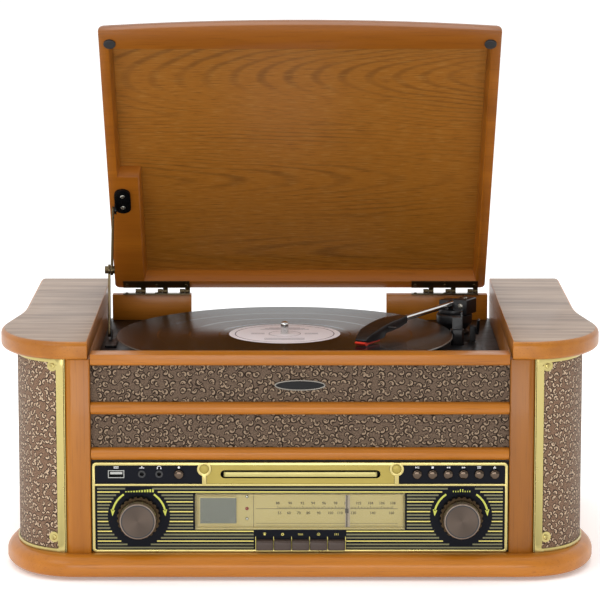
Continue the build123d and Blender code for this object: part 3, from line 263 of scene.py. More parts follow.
upright_wood = stained_wood("stained_hardwood_upright", "#AE6C1A", "#945713", "#683B0C", along_z)
columns = finished("columns", upright_wood, "cabinet", 0.0005)
outer_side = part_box("columns")[1].x - 0.001
front_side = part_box("columns")[0].y + 0.001
shape = bmesh.new()
shape.from_mesh(columns.data)
outer = [edge for edge in shape.edges
         if all(abs(v.co.x) > outer_side and v.co.y < front_side for v in edge.verts)
         and abs(edge.verts[0].co.z - edge.verts[1].co.z) > 0.1]
bmesh.ops.bevel(shape, geom=outer, offset=0.0035, segments=4, affect="EDGES", profile=0.5)
shape.to_mesh(columns.data)
shape.free()
# The right column gets a darker copy of the upright wood: painted shade.
column_wood_painted_shade = stained_wood("stained_hardwood_upright_painted_shade", "#955A14", "#7E490F", "#583109", along_z)
painted(columns, column_wood_painted_shade, lambda at, normal: at.x > 0)
rail_wood = stained_wood("stained_hardwood_across", "#B56F1B", "#9B5B14", "#6C3D0C", along_x)
finished("front_rails", rail_wood, "cabinet", 0.0005)
finished("hinge_blocks", rail_wood, "cabinet", 0.0006)

# Side boards and the walls of the record well: stained like the front, with the grain front to back. The
# walls of the well are painted a little browner: painted shade, where no lamp reaches.
side_wood = stained_wood("stained_hardwood_side", "#AF6D1C", "#955814", "#683B0D", along_y)
well_wood_painted_shade = stained_wood("stained_hardwood_well_painted_shade", "#AA6924", "#8B541B", "#62370E", along_y)
finished("side_walls", side_wood, "cabinet", 0.0004)
finished("inner_walls", well_wood_painted_shade, "cabinet", 0.0004)

# Side caps: boards faced with open-pored oak veneer, with stained and lacquered rounded edges. The top is
# painted greyish: a painted sheen where it catches the light.
cap_oak_painted_sheen = stained_wood("oak_veneer_caps_painted_sheen", "#AA917B", "#745C49", "#4C3A2B", along_x, streak=1.6, rough=0.45,
                       relief=0.00008, open_grain=0.8)
painted(finished("side_caps", side_wood, "cabinet", 0.0006), cap_oak_painted_sheen, lambda at, normal: normal.z > 0.93)

# Front board and what stands inside: plain black, which shows only through the openings and the vents.
for name in ("front_board", "disc_mechanism", "speakers", "power_board", "drive_motor", "drive_belt"):
    nodes[name].data.materials.clear()
    nodes[name].data.materials.append(dark_board)

# Cloth: taupe loudspeaker cloth with small tan curls outlined in dark brown, the outline partly a painted
# shadow of each curl. It is stretched flat between the rails, where it is painted darker as painted shade,
# and bent round the curved corners, where it is painted paler as painted light.


def curl_cloth(name, grounds, cell_sizes, strokes):
    """Woven cloth with printed curls. It reads its own coordinates in metres, along and up the cloth.

    There is one curl in each cell of two jittered grids, a part of a ring turned at random. A stroke is how
    far it is moved off the ring, its half width and its reach along the ring, as shares of a cell, and its
    ink. The dark stroke, moved a little outward, is partly a painted shadow of its curl. The weave repeats
    every 0.9 mm, coarser than a real one, so that it shows. A wave texture of scale 1 repeats every tau / 20
    of a metre.
    """
    ring_radius, taper_of_stroke, soft = 0.21, 0.15, 0.03
    material, tree, shader = new_material(name)
    flat = add_node(tree, "UVMap", {"uv_map": "cloth"}).outputs[0]
    mottle = add_node(tree, "TexNoise", {}, {"Vector": flat, "Scale": every(1.111), "Detail": 3.0,
                                             "Roughness": 0.7})
    colour = add_node(tree, "ValToRGB", {"stops": list(zip((0.32, 0.55, 0.75), grounds))},
                      {"Fac": mottle.outputs["Fac"]}).outputs["Color"]
    for shift, size in zip((0.0, 3.7), cell_sizes):
        cells = add_node(tree, "Mapping", {}, {"Vector": flat, "Scale": (every(size), every(size), 1),
                                               "Location": (shift, shift * 1.7, 0)}).outputs[0]
        cell = add_node(tree, "TexVoronoi", {"voronoi_dimensions": "2D"},
                        {"Vector": cells, "Scale": 1.0, "Randomness": 0.55})
        local = add_node(tree, "VectorMath", {"operation": "SUBTRACT"}, {0: cells, 1: cell.outputs["Position"]})
        chance = add_node(tree, "SeparateColor", {}, {0: cell.outputs["Color"]}).outputs[0]
        spin = add_node(tree, "Math", {"operation": "MULTIPLY"}, {0: chance, 1: 6.283})
        turned = add_node(tree, "VectorRotate", {"rotation_type": "Z_AXIS"},
                          {"Vector": local.outputs[0], "Angle": spin.outputs[0]}).outputs[0]
        across, up = add_node(tree, "SeparateXYZ", {}, {0: turned}).outputs[:2]
        reach = add_node(tree, "VectorMath", {"operation": "LENGTH"}, {0: turned}).outputs["Value"]
        off_ring = add_node(tree, "Math", {"operation": "SUBTRACT"}, {0: reach, 1: ring_radius}).outputs[0]
        for aside, half, end, ink in strokes:
            moved = add_node(tree, "Math", {"operation": "ADD"}, {0: off_ring, 1: aside}).outputs[0]
            apart = add_node(tree, "Math", {"operation": "ABSOLUTE"}, {0: moved}).outputs[0]
            taper = add_node(tree, "Math", {"operation": "MULTIPLY_ADD"},
                             {0: across, 1: taper_of_stroke, 2: apart}).outputs[0]
            near = add_node(tree, "MapRange", {}, {"Value": taper, "From Min": half + soft,
                                                   "From Max": half - soft})
            ended = add_node(tree, "MapRange", {}, {"Value": up, "From Min": end + soft,
                                                    "From Max": end - soft})
            both = add_node(tree, "Math", {"operation": "MULTIPLY"}, {0: near.outputs[0], 1: ended.outputs[0]})
            colour = add_node(tree, "Mix", {"data_type": "RGBA"},
                              {0: both.outputs[0], 6: colour, 7: linear(ink)}).outputs[2]
    thread = every(0.924) * math.tau / 20
    weft, warp = [add_node(tree, "TexWave", {"bands_direction": way},
                           {"Vector": flat, "Scale": thread, "Distortion": 0.3}).outputs["Fac"] for way in "XY"]
    weave = add_node(tree, "Math", {"operation": "ADD"}, {0: weft, 1: warp})
    bump = add_node(tree, "Bump", {}, {"Strength": 0.6, "Distance": 0.0001, "Height": weave.outputs[0]})
    feed(shader, {"Base Color": colour, "Normal": bump.outputs[0], "Roughness": 0.95,
                  "Specular IOR Level": 0.15, "Sheen Weight": 0.1})
    return material


def lay_cloth(piece, path):
    """Measure the cloth in metres along a path of plan points, the same on both sides, and up the piece."""
    lengths = [0.0]
    for a, b in zip(path, path[1:]):
        lengths.append(lengths[-1] + (b - a).length)
    layer = piece.data.uv_layers.new(name="cloth")
    found = []
    for vertex in piece.data.vertices:
        at = Vector((abs(vertex.co.x), vertex.co.y))
        best = (1.0, 0.0)
        for k, (a, b) in enumerate(zip(path, path[1:])):
            share = min(1.0, max(0.0, (at - a).dot(b - a) / (b - a).length_squared))
            best = min(best, ((at - a.lerp(b, share)).length, lengths[k] + (b - a).length * share))
        found.append((math.copysign(best[1], vertex.co.x), vertex.co.z))
    for loop in piece.data.loops:
        layer.data[loop.index].uv = found[loop.vertex_index]


# The flat bands' copy of the cloth is painted darker: painted shade under the rails.
cloth_painted_shade = curl_cloth("curl_pattern_cloth", ("#43362C", "#665547", "#806C5A"), (6.4, 8.0),
                        ((-0.03, 0.17, 0.11, "#21160F"), (0.0, 0.07, 0.05, "#927E69")))
band_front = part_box("fabric_bands")[0].y
lay_cloth(finished("fabric_bands", cloth_painted_shade, "cabinet"), [Vector((0, band_front)), Vector((0.2, band_front))])

# The corner's plan starts beside the column, bends through two arcs and then runs straight back.
corner_start = Vector((0.20036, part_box("grille_boards")[0].y))
at, heading = corner_start, math.radians(12)
corner = [corner_start]
steps = 16
for radius, turn in ((0.050, 50), (0.088, 30)):
    for k in range(steps):
        step = math.radians(turn) / steps
        at = at + Vector((math.cos(heading + step / 2), math.sin(heading + step / 2))) * radius * step
        heading += step
        corner.append(at)
corner.append(at + Vector((0, 0.2)))
# The corners' copy of the cloth is painted paler: painted light.
cloth_painted_light = curl_cloth("curl_pattern_cloth_painted_light_on_corners", ("#563F32", "#7F6551", "#9C8068"), (6.0, 7.3),
                        ((-0.03, 0.17, 0.09, "#2E1F18"), (0.0, 0.08, 0.02, "#C2A98E")))
lay_cloth(finished("grille_boards", cloth_painted_light, "cabinet"), corner)

# Brass strips: pale gold anodised frames bent round the cloth corners, each with two round tabs for its front
# screws and a thin flange that tucks in beside the column. The strip beside the column is 1.8 mm wider than
# its solid, to match the photograph. Anodised aluminium shines softly, like satin.
brass = surface("pale_gold_anodised", "#BDAE70", 0.3, metal=0.85, relief=0.000004)
frames = finished("grille_frames", brass, "cabinet", 0.0004)
strip_edge = (0.0039, 0.0056)
strip_rise = (0.0240, 0.1870)
for vertex in frames.data.vertices:
    side = math.copysign(1, vertex.co.x)
    from_start = math.hypot(abs(vertex.co.x) - corner_start.x, vertex.co.y - corner_start.y)
    if strip_edge[0] < from_start < strip_edge[1] and strip_rise[0] < vertex.co.z < strip_rise[1]:
        vertex.co += Vector((0.0017 * side, 0.00056, 0))
frame_screw_heights = (0.0346, 0.1832)
corner_out = Vector((0.399, -0.917, 0))
for side in (-1, 1):
    out = Vector((corner_out.x * side, corner_out.y, 0))
    bpy.ops.mesh.primitive_cube_add(size=1)
    flange = bpy.context.object
    flange.name = "frame_flange"
    flange.data.transform(Matrix.Translation((0.19993 * side, -0.1662, 0.1055))
                          @ Matrix.Diagonal((0.0006, 0.0056, 0.1672, 1)))
    flange.data.materials.append(brass)
    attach(flange, "cabinet")
    for z in frame_screw_heights:
        bpy.ops.mesh.primitive_cylinder_add(vertices=40, radius=0.0046, depth=0.0012)
        tab = bpy.context.object
        tab.name = "frame_tab"
        tab.data.transform(Matrix.Translation((0.20995 * side, -0.16686, z))
                           @ out.to_track_quat("Z", "Y").to_matrix().to_4x4())
        bpy.ops.object.shade_smooth_by_angle(angle=math.radians(40))
        tab.data.materials.append(brass)
        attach(tab, "cabinet")

# Screws: small raised-head cross-slot screws, pale gold on the brass strips, zinc-plated steel or antique
# brass elsewhere. Only the head of each is made, on the face of the part that it holds.


def screw(name, at, out, radius, material, body):
    """A domed screw head with a cross slot, at a point and standing out in a direction."""
    sides = 24
    shape = bmesh.new()
    rings = [[shape.verts.new((radius * reach * math.cos(a), radius * reach * math.sin(a), radius * rise))
              for a in [math.tau * k / sides for k in range(sides)]]
             for reach, rise in ((1.0, -0.1), (1.0, 0.12), (0.85, 0.3), (0.55, 0.42))]
    for low, high in zip(rings, rings[1:]):
        for k in range(sides):
            shape.faces.new((low[k - 1], low[k], high[k], high[k - 1]))
    shape.faces.new(rings[-1])
    shape.faces.new(rings[0][::-1])
    head = bpy.data.objects.new(name, bpy.data.meshes.new(name))
    shape.to_mesh(head.data)
    shape.free()
    bpy.context.scene.collection.objects.link(head)
    head.data.materials.append(material)
    for turn in (0, math.pi / 2):
        bpy.ops.mesh.primitive_cube_add(size=1, location=(0, 0, 0))
        cutter = bpy.context.object
        cutter.data.transform(Matrix.Translation((0, 0, radius * 0.4)) @ Matrix.Rotation(turn, 4, "Z")
                              @ Matrix.Diagonal((radius * 1.2, radius * 0.24, radius * 0.5, 1)))
        cut = head.modifiers.new("slot", "BOOLEAN")
        cut.operation, cut.object = "DIFFERENCE", cutter
        bpy.context.view_layer.objects.active = head
        bpy.ops.object.modifier_apply(modifier="slot")
        bpy.data.objects.remove(cutter)
    bpy.ops.object.select_all(action="DESELECT")
    head.select_set(True)
    bpy.ops.object.shade_smooth_by_angle(angle=math.radians(35))
    head.data.transform(Matrix.Translation(at) @ Vector(out).to_track_quat("Z", "Y").to_matrix().to_4x4())
    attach(head, body)


# Zinc plate is a plain grey metal with a soft shine.
steel = surface("zinc_plated_steel", "#A9A69C", 0.32, metal=0.9, relief=0.000003)
for side in (-1, 1):
    out = (corner_out.x * side, corner_out.y, 0)
    for z in frame_screw_heights:
        screw("frame_screw", (0.2103 * side, -0.16764, z), out, 0.0024, brass, "cabinet")
        rear_z = z + math.copysign(0.0024, z - 0.1)
        screw("frame_screw_rear", (0.2459 * side, -0.0505, rear_z), (side, 0, 0), 0.0018, brass, "cabinet")

# Badge: a bare oval plate of black enamel, glossy and dark, in a rim of worn chrome that has lost its shine,
# pinned to the upper cloth.
badge_height, badge_reach, badge_rise = 0.1666, 0.0211, 0.0041
# Chrome plate mirrors the lamps.
chrome = surface("bright_chrome", "#D6D6D4", 0.12, metal=1.0, relief=0.000001)
black_gloss = surface("black_enamel", "#0B0B0C", 0.25, relief=0.000002, shine=0.2)
bpy.ops.mesh.primitive_cylinder_add(vertices=96, radius=1, depth=1)
badge = bpy.context.object
badge.name = "badge_plate"
badge.data.transform(Matrix.Translation((0, -0.1675, badge_height)) @ Matrix.Rotation(math.pi / 2, 4, "X")
                     @ Matrix.Diagonal((badge_reach + 0.0002, badge_rise + 0.0001, 0.0011, 1)))
bpy.ops.object.shade_smooth_by_angle(angle=math.radians(40))
badge.data.materials.append(black_gloss)
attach(badge, "cabinet")
bpy.ops.mesh.primitive_torus_add(major_segments=96, minor_segments=12, major_radius=1, minor_radius=0.0006)
rim = bpy.context.object
rim.name = "badge_rim"
for vertex in rim.data.vertices:
    flat = Vector((vertex.co.x, vertex.co.y))
    on_ring = flat.normalized()
    outward = Vector((on_ring.x / badge_reach, on_ring.y / badge_rise)).normalized() * (flat.length - 1)
    vertex.co = (on_ring.x * badge_reach + outward.x, -0.1678 - vertex.co.z,
                 badge_height + on_ring.y * badge_rise + outward.y)
bpy.ops.object.mode_set(mode="EDIT")
bpy.ops.mesh.select_all(action="SELECT")
bpy.ops.mesh.normals_make_consistent(inside=False)
bpy.ops.object.mode_set(mode="OBJECT")
bpy.ops.object.shade_smooth()
rim.data.materials.append(surface("worn_chrome", "#8E8A82", 0.3, metal=0.9, relief=0.000003))
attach(rim, "cabinet")

# Control panel: a black moulded fascia in a pale gold rim, with a gold plate round the disc drawer. The
# lower half carries printed gold stripes that stop short of the round knob fields, the dial and the keys.


def print_on(name, shapes, face, material, body, depth=0.00006):
    """Flat shapes in millimetres, raised a little from the plane of a face, as one closed mesh."""
    mesh = bmesh.new()
    for shape in shapes:
        low = [mesh.verts.new(face @ Vector((x / 1000, y / 1000, 0))) for x, y in shape]
        high = [mesh.verts.new(face @ Vector((x / 1000, y / 1000, depth))) for x, y in shape]
        mesh.faces.new(high)
        mesh.faces.new(low[::-1])
        for k in range(len(shape)):
            mesh.faces.new((low[k - 1], low[k], high[k], high[k - 1]))
    bmesh.ops.recalc_face_normals(mesh, faces=mesh.faces)
    printed = bpy.data.objects.new(name, bpy.data.meshes.new(name))
    mesh.to_mesh(printed.data)
    mesh.free()
    bpy.context.scene.collection.objects.link(printed)
    printed.data.materials.append(material)
    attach(printed, body)


def bar(x0, y0, x1, y1):
    """Corners of an upright rectangle."""
    return [(x0, y0), (x1, y0), (x1, y1), (x0, y1)]


def disc(x, y, radius, sides=40):
    """Corners of a round field."""
    return [(x + radius * math.cos(math.tau * k / sides), y + radius * math.sin(math.tau * k / sides))
            for k in range(sides)]


def arc(x, y, inner, outer, start, end, sides=20):
    """Corners of a band round a centre, between two angles in degrees."""
    turns = [math.radians(start + (end - start) * k / sides) for k in range(sides + 1)]
    return ([(x + outer * math.cos(t), y + outer * math.sin(t)) for t in turns]
            + [(x + inner * math.cos(t), y + inner * math.sin(t)) for t in reversed(turns)])


def dome(name, at, radius, flatness, material, body, segments=40, rings=16):
    """A round cap that bulges to the front."""
    bpy.ops.mesh.primitive_uv_sphere_add(segments=segments, ring_count=rings, radius=radius)
    cap = bpy.context.object
    cap.name = name
    cap.data.transform(Matrix.Translation(at) @ Matrix.Diagonal((1, flatness, 1, 1)))
    bpy.ops.object.shade_smooth()
    cap.data.materials.append(material)
    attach(cap, body)


# On the panel's front a drawing's x is X, its y is Z, and its rise points to the front.
panel_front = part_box("control_fascia")[0].y
front = Matrix(((1, 0, 0, 0), (0, 0, -1, panel_front), (0, 1, 0, 0), (0, 0, 0, 1)))
# Moulded ABS, nearly black with a touch of blue, that hardly shines.
panel_black = surface("black_moulded_panel", "#0D0F17", 0.38, relief=0.000004, shine=0.08)
finished("control_fascia", panel_black, "cabinet")
finished("fascia_rim", brass, "cabinet", 0.0003)
# Anodised aluminium again, in a deeper and more matt yellow than the rim.
gold = surface("gold_anodised_plate", "#9D8C42", 0.42, metal=0.5, relief=0.000005)
finished("disc_fascia", gold, "cabinet")
for x in (-0.0815, 0.0823):
    dome("roundel_stud", (x, panel_front - 0.001, 0.0945), 0.0041, 0.22, gold, "cabinet")

# Stripes: every third one is bright gold and the two between are olive. They run from the middle, or from the
# dial or the keys, to the knob's round field, and beyond it to the rim. All is in millimetres on the panel.
knob_x, knob_z, knob_field, stripes_end = 137.4, 53.3, 26.6, 172.8
dial_low, dial_high, dial_end, keys_high, keys_end = 40.4, 74.1, 91.2, 40.2, 39.6
top_stripe, stripe_step = 74.4, 2.86
# Metallic ink glints a little. The ink between the bright stripes is a dull olive.
stripe_gold = surface("printed_gold", "#CFC268", 0.4, metal=0.35)
stripe_dim = surface("printed_olive", "#6E6C4C", 0.45, metal=0.3)
bright, dim = [], []
for k in range(-1, 18):
    z = top_stripe - stripe_step * k
    stripes, half_width = (bright, 0.52) if k % 3 == 0 else (dim, 0.68)
    half_field = math.sqrt(max(0.0, knob_field ** 2 - (z - knob_z) ** 2))
    inner = dial_end if dial_low < z < dial_high else (keys_end if z < keys_high else 0.0)
    for side in (-1, 1):
        for low, high in ((inner, knob_x - half_field), (knob_x + half_field, stripes_end)):
            left, right = sorted((low * side, high * side))
            stripes.append(bar(left, z - half_width, right, z + half_width))
print_on("bright_stripes", bright, front, stripe_gold, "cabinet")
print_on("dim_stripes", dim, front, stripe_dim, "cabinet")

# Signs round the knobs: two arrows that curve down each side, a rising row of bars over the volume knob and a
# short scale over the tuning knob.
# A yellow-green ink with no metal in it.
arrow_green = surface("printed_green_gold", "#C8CC50", 0.45)
arrows = []
for x in (-knob_x, knob_x):
    for side in (-1, 1):
        arrows.append(arc(x, knob_z, 22.1, 23.7, 90 - side * 34, 90 - side * 78))
        tip, base = math.radians(90 - side * 90), math.radians(90 - side * 76)
        arrows.append([(x + reach * math.cos(angle), knob_z + reach * math.sin(angle))
                       for reach, angle in ((21.0, base), (24.8, base), (22.6, tip))])
arrows += [bar(-149.0 + 2.3 * k, 74.2, -147.6 + 2.3 * k, 74.9 + 0.2 * k) for k in range(11)]
arrows += [bar(130.3 + 2.0 * k, 74.2, 131.1 + 2.0 * k, 76.9 if k in (3, 4) else 75.5) for k in range(8)]
print_on("knob_marks", arrows, front, arrow_green, "cabinet")

# Signs over the sockets, buttons and keys: small printed shapes without letters, each drawn round its own
# middle. White ones stand over the upper row and gold ones over the keys.


def placed(signs, z):
    """The shapes of signs, each moved to its x and all to one height."""
    return [[(a + x, b + z) for a, b in shape] for x, shapes in signs for shape in shapes]


# Matt white ink.
white = surface("printed_white", "#E4E4E6", 0.5)
upper_signs = (
    (-156.5, [bar(-2.1, -0.7, 2.1, -0.2), bar(-2.1, 0.4, 2.1, 0.9)]),
    (-134.7, [bar(-2.2, -0.7, 2.1, -0.2), [(-0.9, 0.2), (0.9, 0.2), (0, 1.3)]]),
    (-119.9, [arc(0, -0.5, 1.5, 1.95, 0, 180, 12), bar(-2.0, -1.3, -1.1, 0.1), bar(1.1, -1.3, 2.0, 0.1)]),
    (-103.1, [disc(0, 0, 1.0, 20)]),
    (99.7, [[(-1.5, -0.9), (-1.5, 0.9), (0.1, 0)], bar(0.4, -0.9, 0.8, 0.9), bar(1.2, -0.9, 1.6, 0.9)]),
    (112.9, [bar(-0.9, -0.9, 0.9, 0.9)]),
    (126.2, [[(0, -0.8), (0, 0.8), (-1.6, 0)], [(1.6, -0.8), (1.6, 0.8), (0, 0)]]),
    (139.3, [[(-1.6, -0.8), (-1.6, 0.8), (0, 0)], [(0, -0.8), (0, 0.8), (1.6, 0)]]),
    (152.5, [bar(-1.6, -0.9, 1.6, -0.5), bar(-1.6, -0.1, 1.6, 0.3), bar(-1.6, 0.7, 1.6, 1.1)]),
    (165.7, [bar(-1.2, -1.0, 1.2, -0.6), [(-1.2, -0.2), (1.2, -0.2), (0, 1.2)]]))
print_on("symbols", placed(upper_signs, 95.7), front, white, "cabinet")
key_middle, key_step = 0.5, 15.35
key_signs = (
    [disc(0, 0, 0.9, 20), arc(0, 0, 1.3, 1.6, 30, 150, 10)],
    [arc(0, 0, 0.6, 1.2, 0, 360, 24)],
    [bar(-2.1, -0.6, 2.1, -0.3), bar(-2.1, 0.3, 2.1, 0.6)],
    [arc(0, 0, 1.0, 1.3, 0, 360, 24), disc(0, 0, 0.35, 16)],
    [bar(x - 0.2, -0.9, x + 0.2, 0.9) for x in (-1.4, 0, 1.4)])
key_signs = [(key_middle + key_step * (k - 2), shapes) for k, shapes in enumerate(key_signs)]
print_on("source_symbols", placed(key_signs, 37.4), front, stripe_gold, "cabinet")

# Sockets, buttons and keys: a plated shell and two black jacks, seven domed buttons plated in dull bronze,
# and five brown keys with gold lines between them, which end almost flush with the panel. The moulded ABS is
# a satin black, the nickel shell is pale and bright, and the bronze plate mirrors darkly.
black_plastic = surface("black_moulded_plastic", "#131316", 0.32, relief=0.000006)
shell = surface("nickel_shell", "#A4A4A0", 0.25, metal=0.9, relief=0.000002)
shell_right, shell_face, shell_middle = -0.145, -0.1690, 0.0902
painted(finished("front_sockets", black_plastic, "cabinet"), shell, lambda at, normal: (
    at.x < shell_right and normal.y < -0.7 and (at.y < shell_face or at.z > shell_middle)))
bronze = surface("dull_bronze_plating", "#5A4D42", 0.16, metal=0.95, relief=0.000002)
for name in ("record", "play", "stop", "back", "skip", "program", "open"):
    button = finished(name + "_button", bronze, name + "_press")
    across = [vertex.co.x for vertex in button.data.vertices]
    middle = (min(across) + max(across)) / 2
    dome(name + "_button_dome", (middle, -0.1719, 0.0900), 0.0039, 0.34, bronze, name + "_press", rings=20)
# Moulded ABS in brown, with a satin surface that spreads the light.
brown_key = surface("brown_satin_plastic", "#43362F", 0.38, relief=0.000008, shine=0.35)
for name in ("tuner", "disc", "tape", "phono", "tone"):
    finished(name + "_key", brown_key, name + "_select", 0.0002)
between_keys = [key_middle + key_step * (k + 0.5) for k in range(-3, 3)]
print_on("key_lines", [bar(x - 0.28, 24.2, x + 0.28, 35.4) for x in between_keys],
         Matrix.Translation((0, 0.006, 0)) @ front, stripe_gold, "cabinet", depth=0.0064)

# Knobs: turned metal with a spun face, a ring groove whose shade is painted as a black ring, a darker
# spun middle and a fluted bronze skirt.


def spun_metal(name, code, x, z):
    """Metal turned on a lathe about a forward axis: fine rings and soft fans of painted highlight and shade.

    The rings are 0.17 mm apart.
    """
    material, tree, shader = new_material(name)
    place = add_node(tree, "TexCoord").outputs["Object"]
    local = add_node(tree, "VectorMath", {"operation": "SUBTRACT"}, {0: place, 1: (x, 0, z)}).outputs[0]
    across, _, up = add_node(tree, "SeparateXYZ", {}, {0: local}).outputs
    plan = add_node(tree, "CombineXYZ", {}, {0: across, 1: up}).outputs[0]
    reach = add_node(tree, "VectorMath", {"operation": "LENGTH"}, {0: plan}).outputs["Value"]
    rings = add_node(tree, "CombineXYZ", {}, {0: reach}).outputs[0]
    fine = add_node(tree, "TexNoise", {}, {"Vector": rings, "Scale": every(0.1667), "Detail": 1.0})
    # Two soft fans round the axis lighten the colour and two darken it: painted highlight and painted shade.
    angle = add_node(tree, "Math", {"operation": "ARCTAN2"}, {0: up, 1: across}).outputs[0]
    twice = add_node(tree, "Math", {"operation": "MULTIPLY_ADD"}, {0: angle, 1: 2.0, 2: -0.9}).outputs[0]
    painted_highlight_fan = add_node(tree, "Math", {"operation": "COSINE"}, {0: twice}).outputs[0]
    shade = add_node(tree, "MapRange", {}, {"Value": painted_highlight_fan, "From Min": -1.0, "From Max": 1.0,
                                            "To Min": 0.86, "To Max": 1.18})
    painted_light_colour = add_node(tree, "VectorMath", {"operation": "SCALE"},
                      {0: linear(code)[:3], "Scale": shade.outputs[0]})
    bump = add_node(tree, "Bump", {}, {"Strength": 0.5, "Distance": 0.00001, "Height": fine.outputs["Fac"]})
    feed(shader, {"Base Color": painted_light_colour.outputs[0], "Normal": bump.outputs[0], "Metallic": 0.75,
                  "Roughness": 0.38})
    return material


skirt = surface("bronze_fluted_skirt", "#3F3222", 0.24, metal=0.95, relief=0.000003)
axis_x, axis_z, face_radius, face_back = knob_x / 1000, knob_z / 1000, 0.0166, -0.1835
for name, x in (("volume", -axis_x), ("tuning", axis_x)):
    knob = finished(name + "_knob", skirt, name, turn=28)
    painted(knob, spun_metal("spun_knob_face_" + name, "#817266", x, axis_z),
            lambda at, normal, x=x: math.hypot(at.x - x, at.z - axis_z) < face_radius and at.y < face_back)
    knob_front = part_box(name + "_knob")[0].y
    face = Matrix.Translation((x, knob_front - panel_front, axis_z)) @ front
    # The black ring is painted shade in the groove round the face.
    print_on("knob_shadow_ring", [disc(0, 0, 14.3, 64)], face, black_plastic, name, depth=0.00003)
    spun_insert = spun_metal("spun_insert_" + name, "#4E433B", x, axis_z)
    print_on("knob_face_insert", [disc(0, 0, 13.3, 64)], face, spun_insert, name, depth=0.00018)

# Disc drawer: a black moulded tray behind a bar that closes the slot. The bar is anodised a pale gold and
# has the matt shine of its plate.
pale_gold = surface("pale_gold_drawer_bar", "#B2A76A", 0.4, metal=0.5, relief=0.000004)
painted(finished("disc_drawer", black_plastic, "drawer", 0.0004), pale_gold, lambda at, normal: at.y < -0.1694)

# Dial: a cream printed plate with a display at its left, three small lamps, a scale with a line of ticks,
# a dark pointer on its slide and a clear window over all. The plate is matt print, the display is a grey pane
# under gloss, and the lamps are two bright caps and a red lens.
dial_cream = surface("cream_printed_plate", "#DCCB90", 0.55, relief=0.000003)
finished("dial_plate", dial_cream, "cabinet")
dial_face = Matrix.Translation((0, 0.0043, 0)) @ front
ink = surface("brown_dial_ink", "#5A4E30", 0.6)
scale_left, scale_right, scale_line, tick_foot = -37.5, 83.5, 58.6, 59.0
scale = [bar(scale_left, scale_line, scale_right, tick_foot), bar(-39.8, 42.4, -39.4, 72.6),
         bar(scale_left, 45.9, scale_right, 46.2), bar(scale_left, 43.6, scale_right, 43.8)]
stations = (-19, -8.5, 2, 11.2, 20.5, 30.3, 40, 49.9, 60.1, 69.9, 79.2)
for left, right in zip(stations, stations[1:]):
    for k in range(8):
        x = left + (right - left) * k / 8
        scale.append(bar(x - 0.2, tick_foot, x + 0.2, 61.3 if k == 0 else 60.4))
scale.append(bar(79.0, tick_foot, 79.4, 61.0))
print_on("dial_scale", scale, dial_face, ink, "cabinet")
print_on("display", [bar(-85.2, 46.4, -54.3, 68.6)], Matrix.Translation((0, 0.0023, 0)) @ front,
         surface("grey_display", "#797D78", 0.25, coat=0.5, relief=0.000001), "cabinet", depth=0.0001)


def numbers(name, marks, height, face, material, body):
    """Numbers set centred on their places, in millimetres on the plane of a face, as one closed mesh.

    A figure is 0.7 of its letter size high.
    """
    made = []
    for words, x, y in marks:
        bpy.ops.object.text_add()
        figure = bpy.context.object
        figure.data.body, figure.data.size = words, height / 700
        figure.data.align_x, figure.data.align_y = "CENTER", "CENTER"
        figure.data.extrude, figure.data.offset, figure.data.resolution_u = 0.00004, 0.00008, 2
        bpy.ops.object.convert(target="MESH")
        figure = bpy.context.object
        figure.data.transform(face @ Matrix.Translation((x / 1000, y / 1000, 0)))
        made.append(figure)
    bpy.ops.object.select_all(action="DESELECT")
    for figure in made:
        figure.select_set(True)
    bpy.context.view_layer.objects.active = made[0]
    bpy.ops.object.join()
    made[0].name = name
    made[0].data.materials.clear()
    made[0].data.materials.append(material)
    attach(made[0], body)


upper_row = [(str(88 + 2 * k), x, 63.6) for k, x in enumerate(stations)]
lower_row = [(figure, x, 55.0) for figure, x in (
    ("53", -17.5), ("60", -9.5), ("70", -1.0), ("80", 7.0), ("90", 16.0), ("100", 26.0), ("110", 34.0),
    ("130", 45.5), ("140", 62.0), ("160", 78.0))]
numbers("dial_numbers", upper_row + lower_row, 2.3, dial_face, ink, "cabinet")
lamp_red = surface("red_lens", "#A8423A", 0.2, coat=0.6)
for z, lens in ((0.0694, chrome), (0.0589, lamp_red), (0.0501, chrome)):
    dome("dial_lamp", (-0.0453, -0.1652, z), 0.0016, 0.8, lens, "cabinet", segments=24, rings=12)
finished("tuning_pointer", surface("dark_pointer", "#5A4E4A", 0.4), "pointer")
print_on("pointer_slide", [bar(38.6, 42.6, 42.6, 71.6)], Matrix.Translation((0, 0.0037, 0)) @ front,
         surface("clear_slide_plastic", "#C9B8A8", 0.3, coat=0.3), "pointer", depth=0.0002)

# The window is clear acrylic: it lets the dial through and shows only a weak reflection.
window, tree, shader = new_material("clear_window")
tree.nodes.remove(shader)
clear = add_node(tree, "BsdfTransparent", {}, {"Color": linear("#F6F6F2")})
shine = add_node(tree, "BsdfGlossy", {}, {"Color": linear("#FFFFFF"), "Roughness": 0.04})
facing = add_node(tree, "Fresnel", {}, {"IOR": 1.35})
both = add_node(tree, "MixShader", {}, {0: facing.outputs[0], 1: clear.outputs[0], 2: shine.outputs[0]})
feed(tree.nodes["Material Output"], {"Surface": both.outputs[0]})
finished("dial_glass", window, "cabinet")

# Back: a black fibreboard panel with vents, held by six screws, two phono sockets and a round inlet for the
# mains lead.
finished("back_panel", dark_board, "cabinet")
finished("rear_sockets", black_plastic, "cabinet")
back_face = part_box("back_panel")[1].y
for x in (-0.228, -0.1, 0.228):
    for z in (0.028, 0.155):
        screw("back_screw", (x, back_face, z), (0, 1, 0), 0.0032, steel, "cabinet")

# Deck: a black moulded plate over the whole well, textured to a dull shine, with a rubber-covered platter on
# a chrome spindle. The rubber is dull.
deck_black = surface("black_textured_deck", "#121214", 0.38, grit=1.111, relief=0.00002, shine=0.3)
finished("deck_plate", deck_black, "cabinet", 0.0003)
rubber = surface("platter_rubber", "#1B1B1C", 0.6, relief=0.00002)
finished("platter", rubber, "turntable")
finished("spindle", chrome, "cabinet")

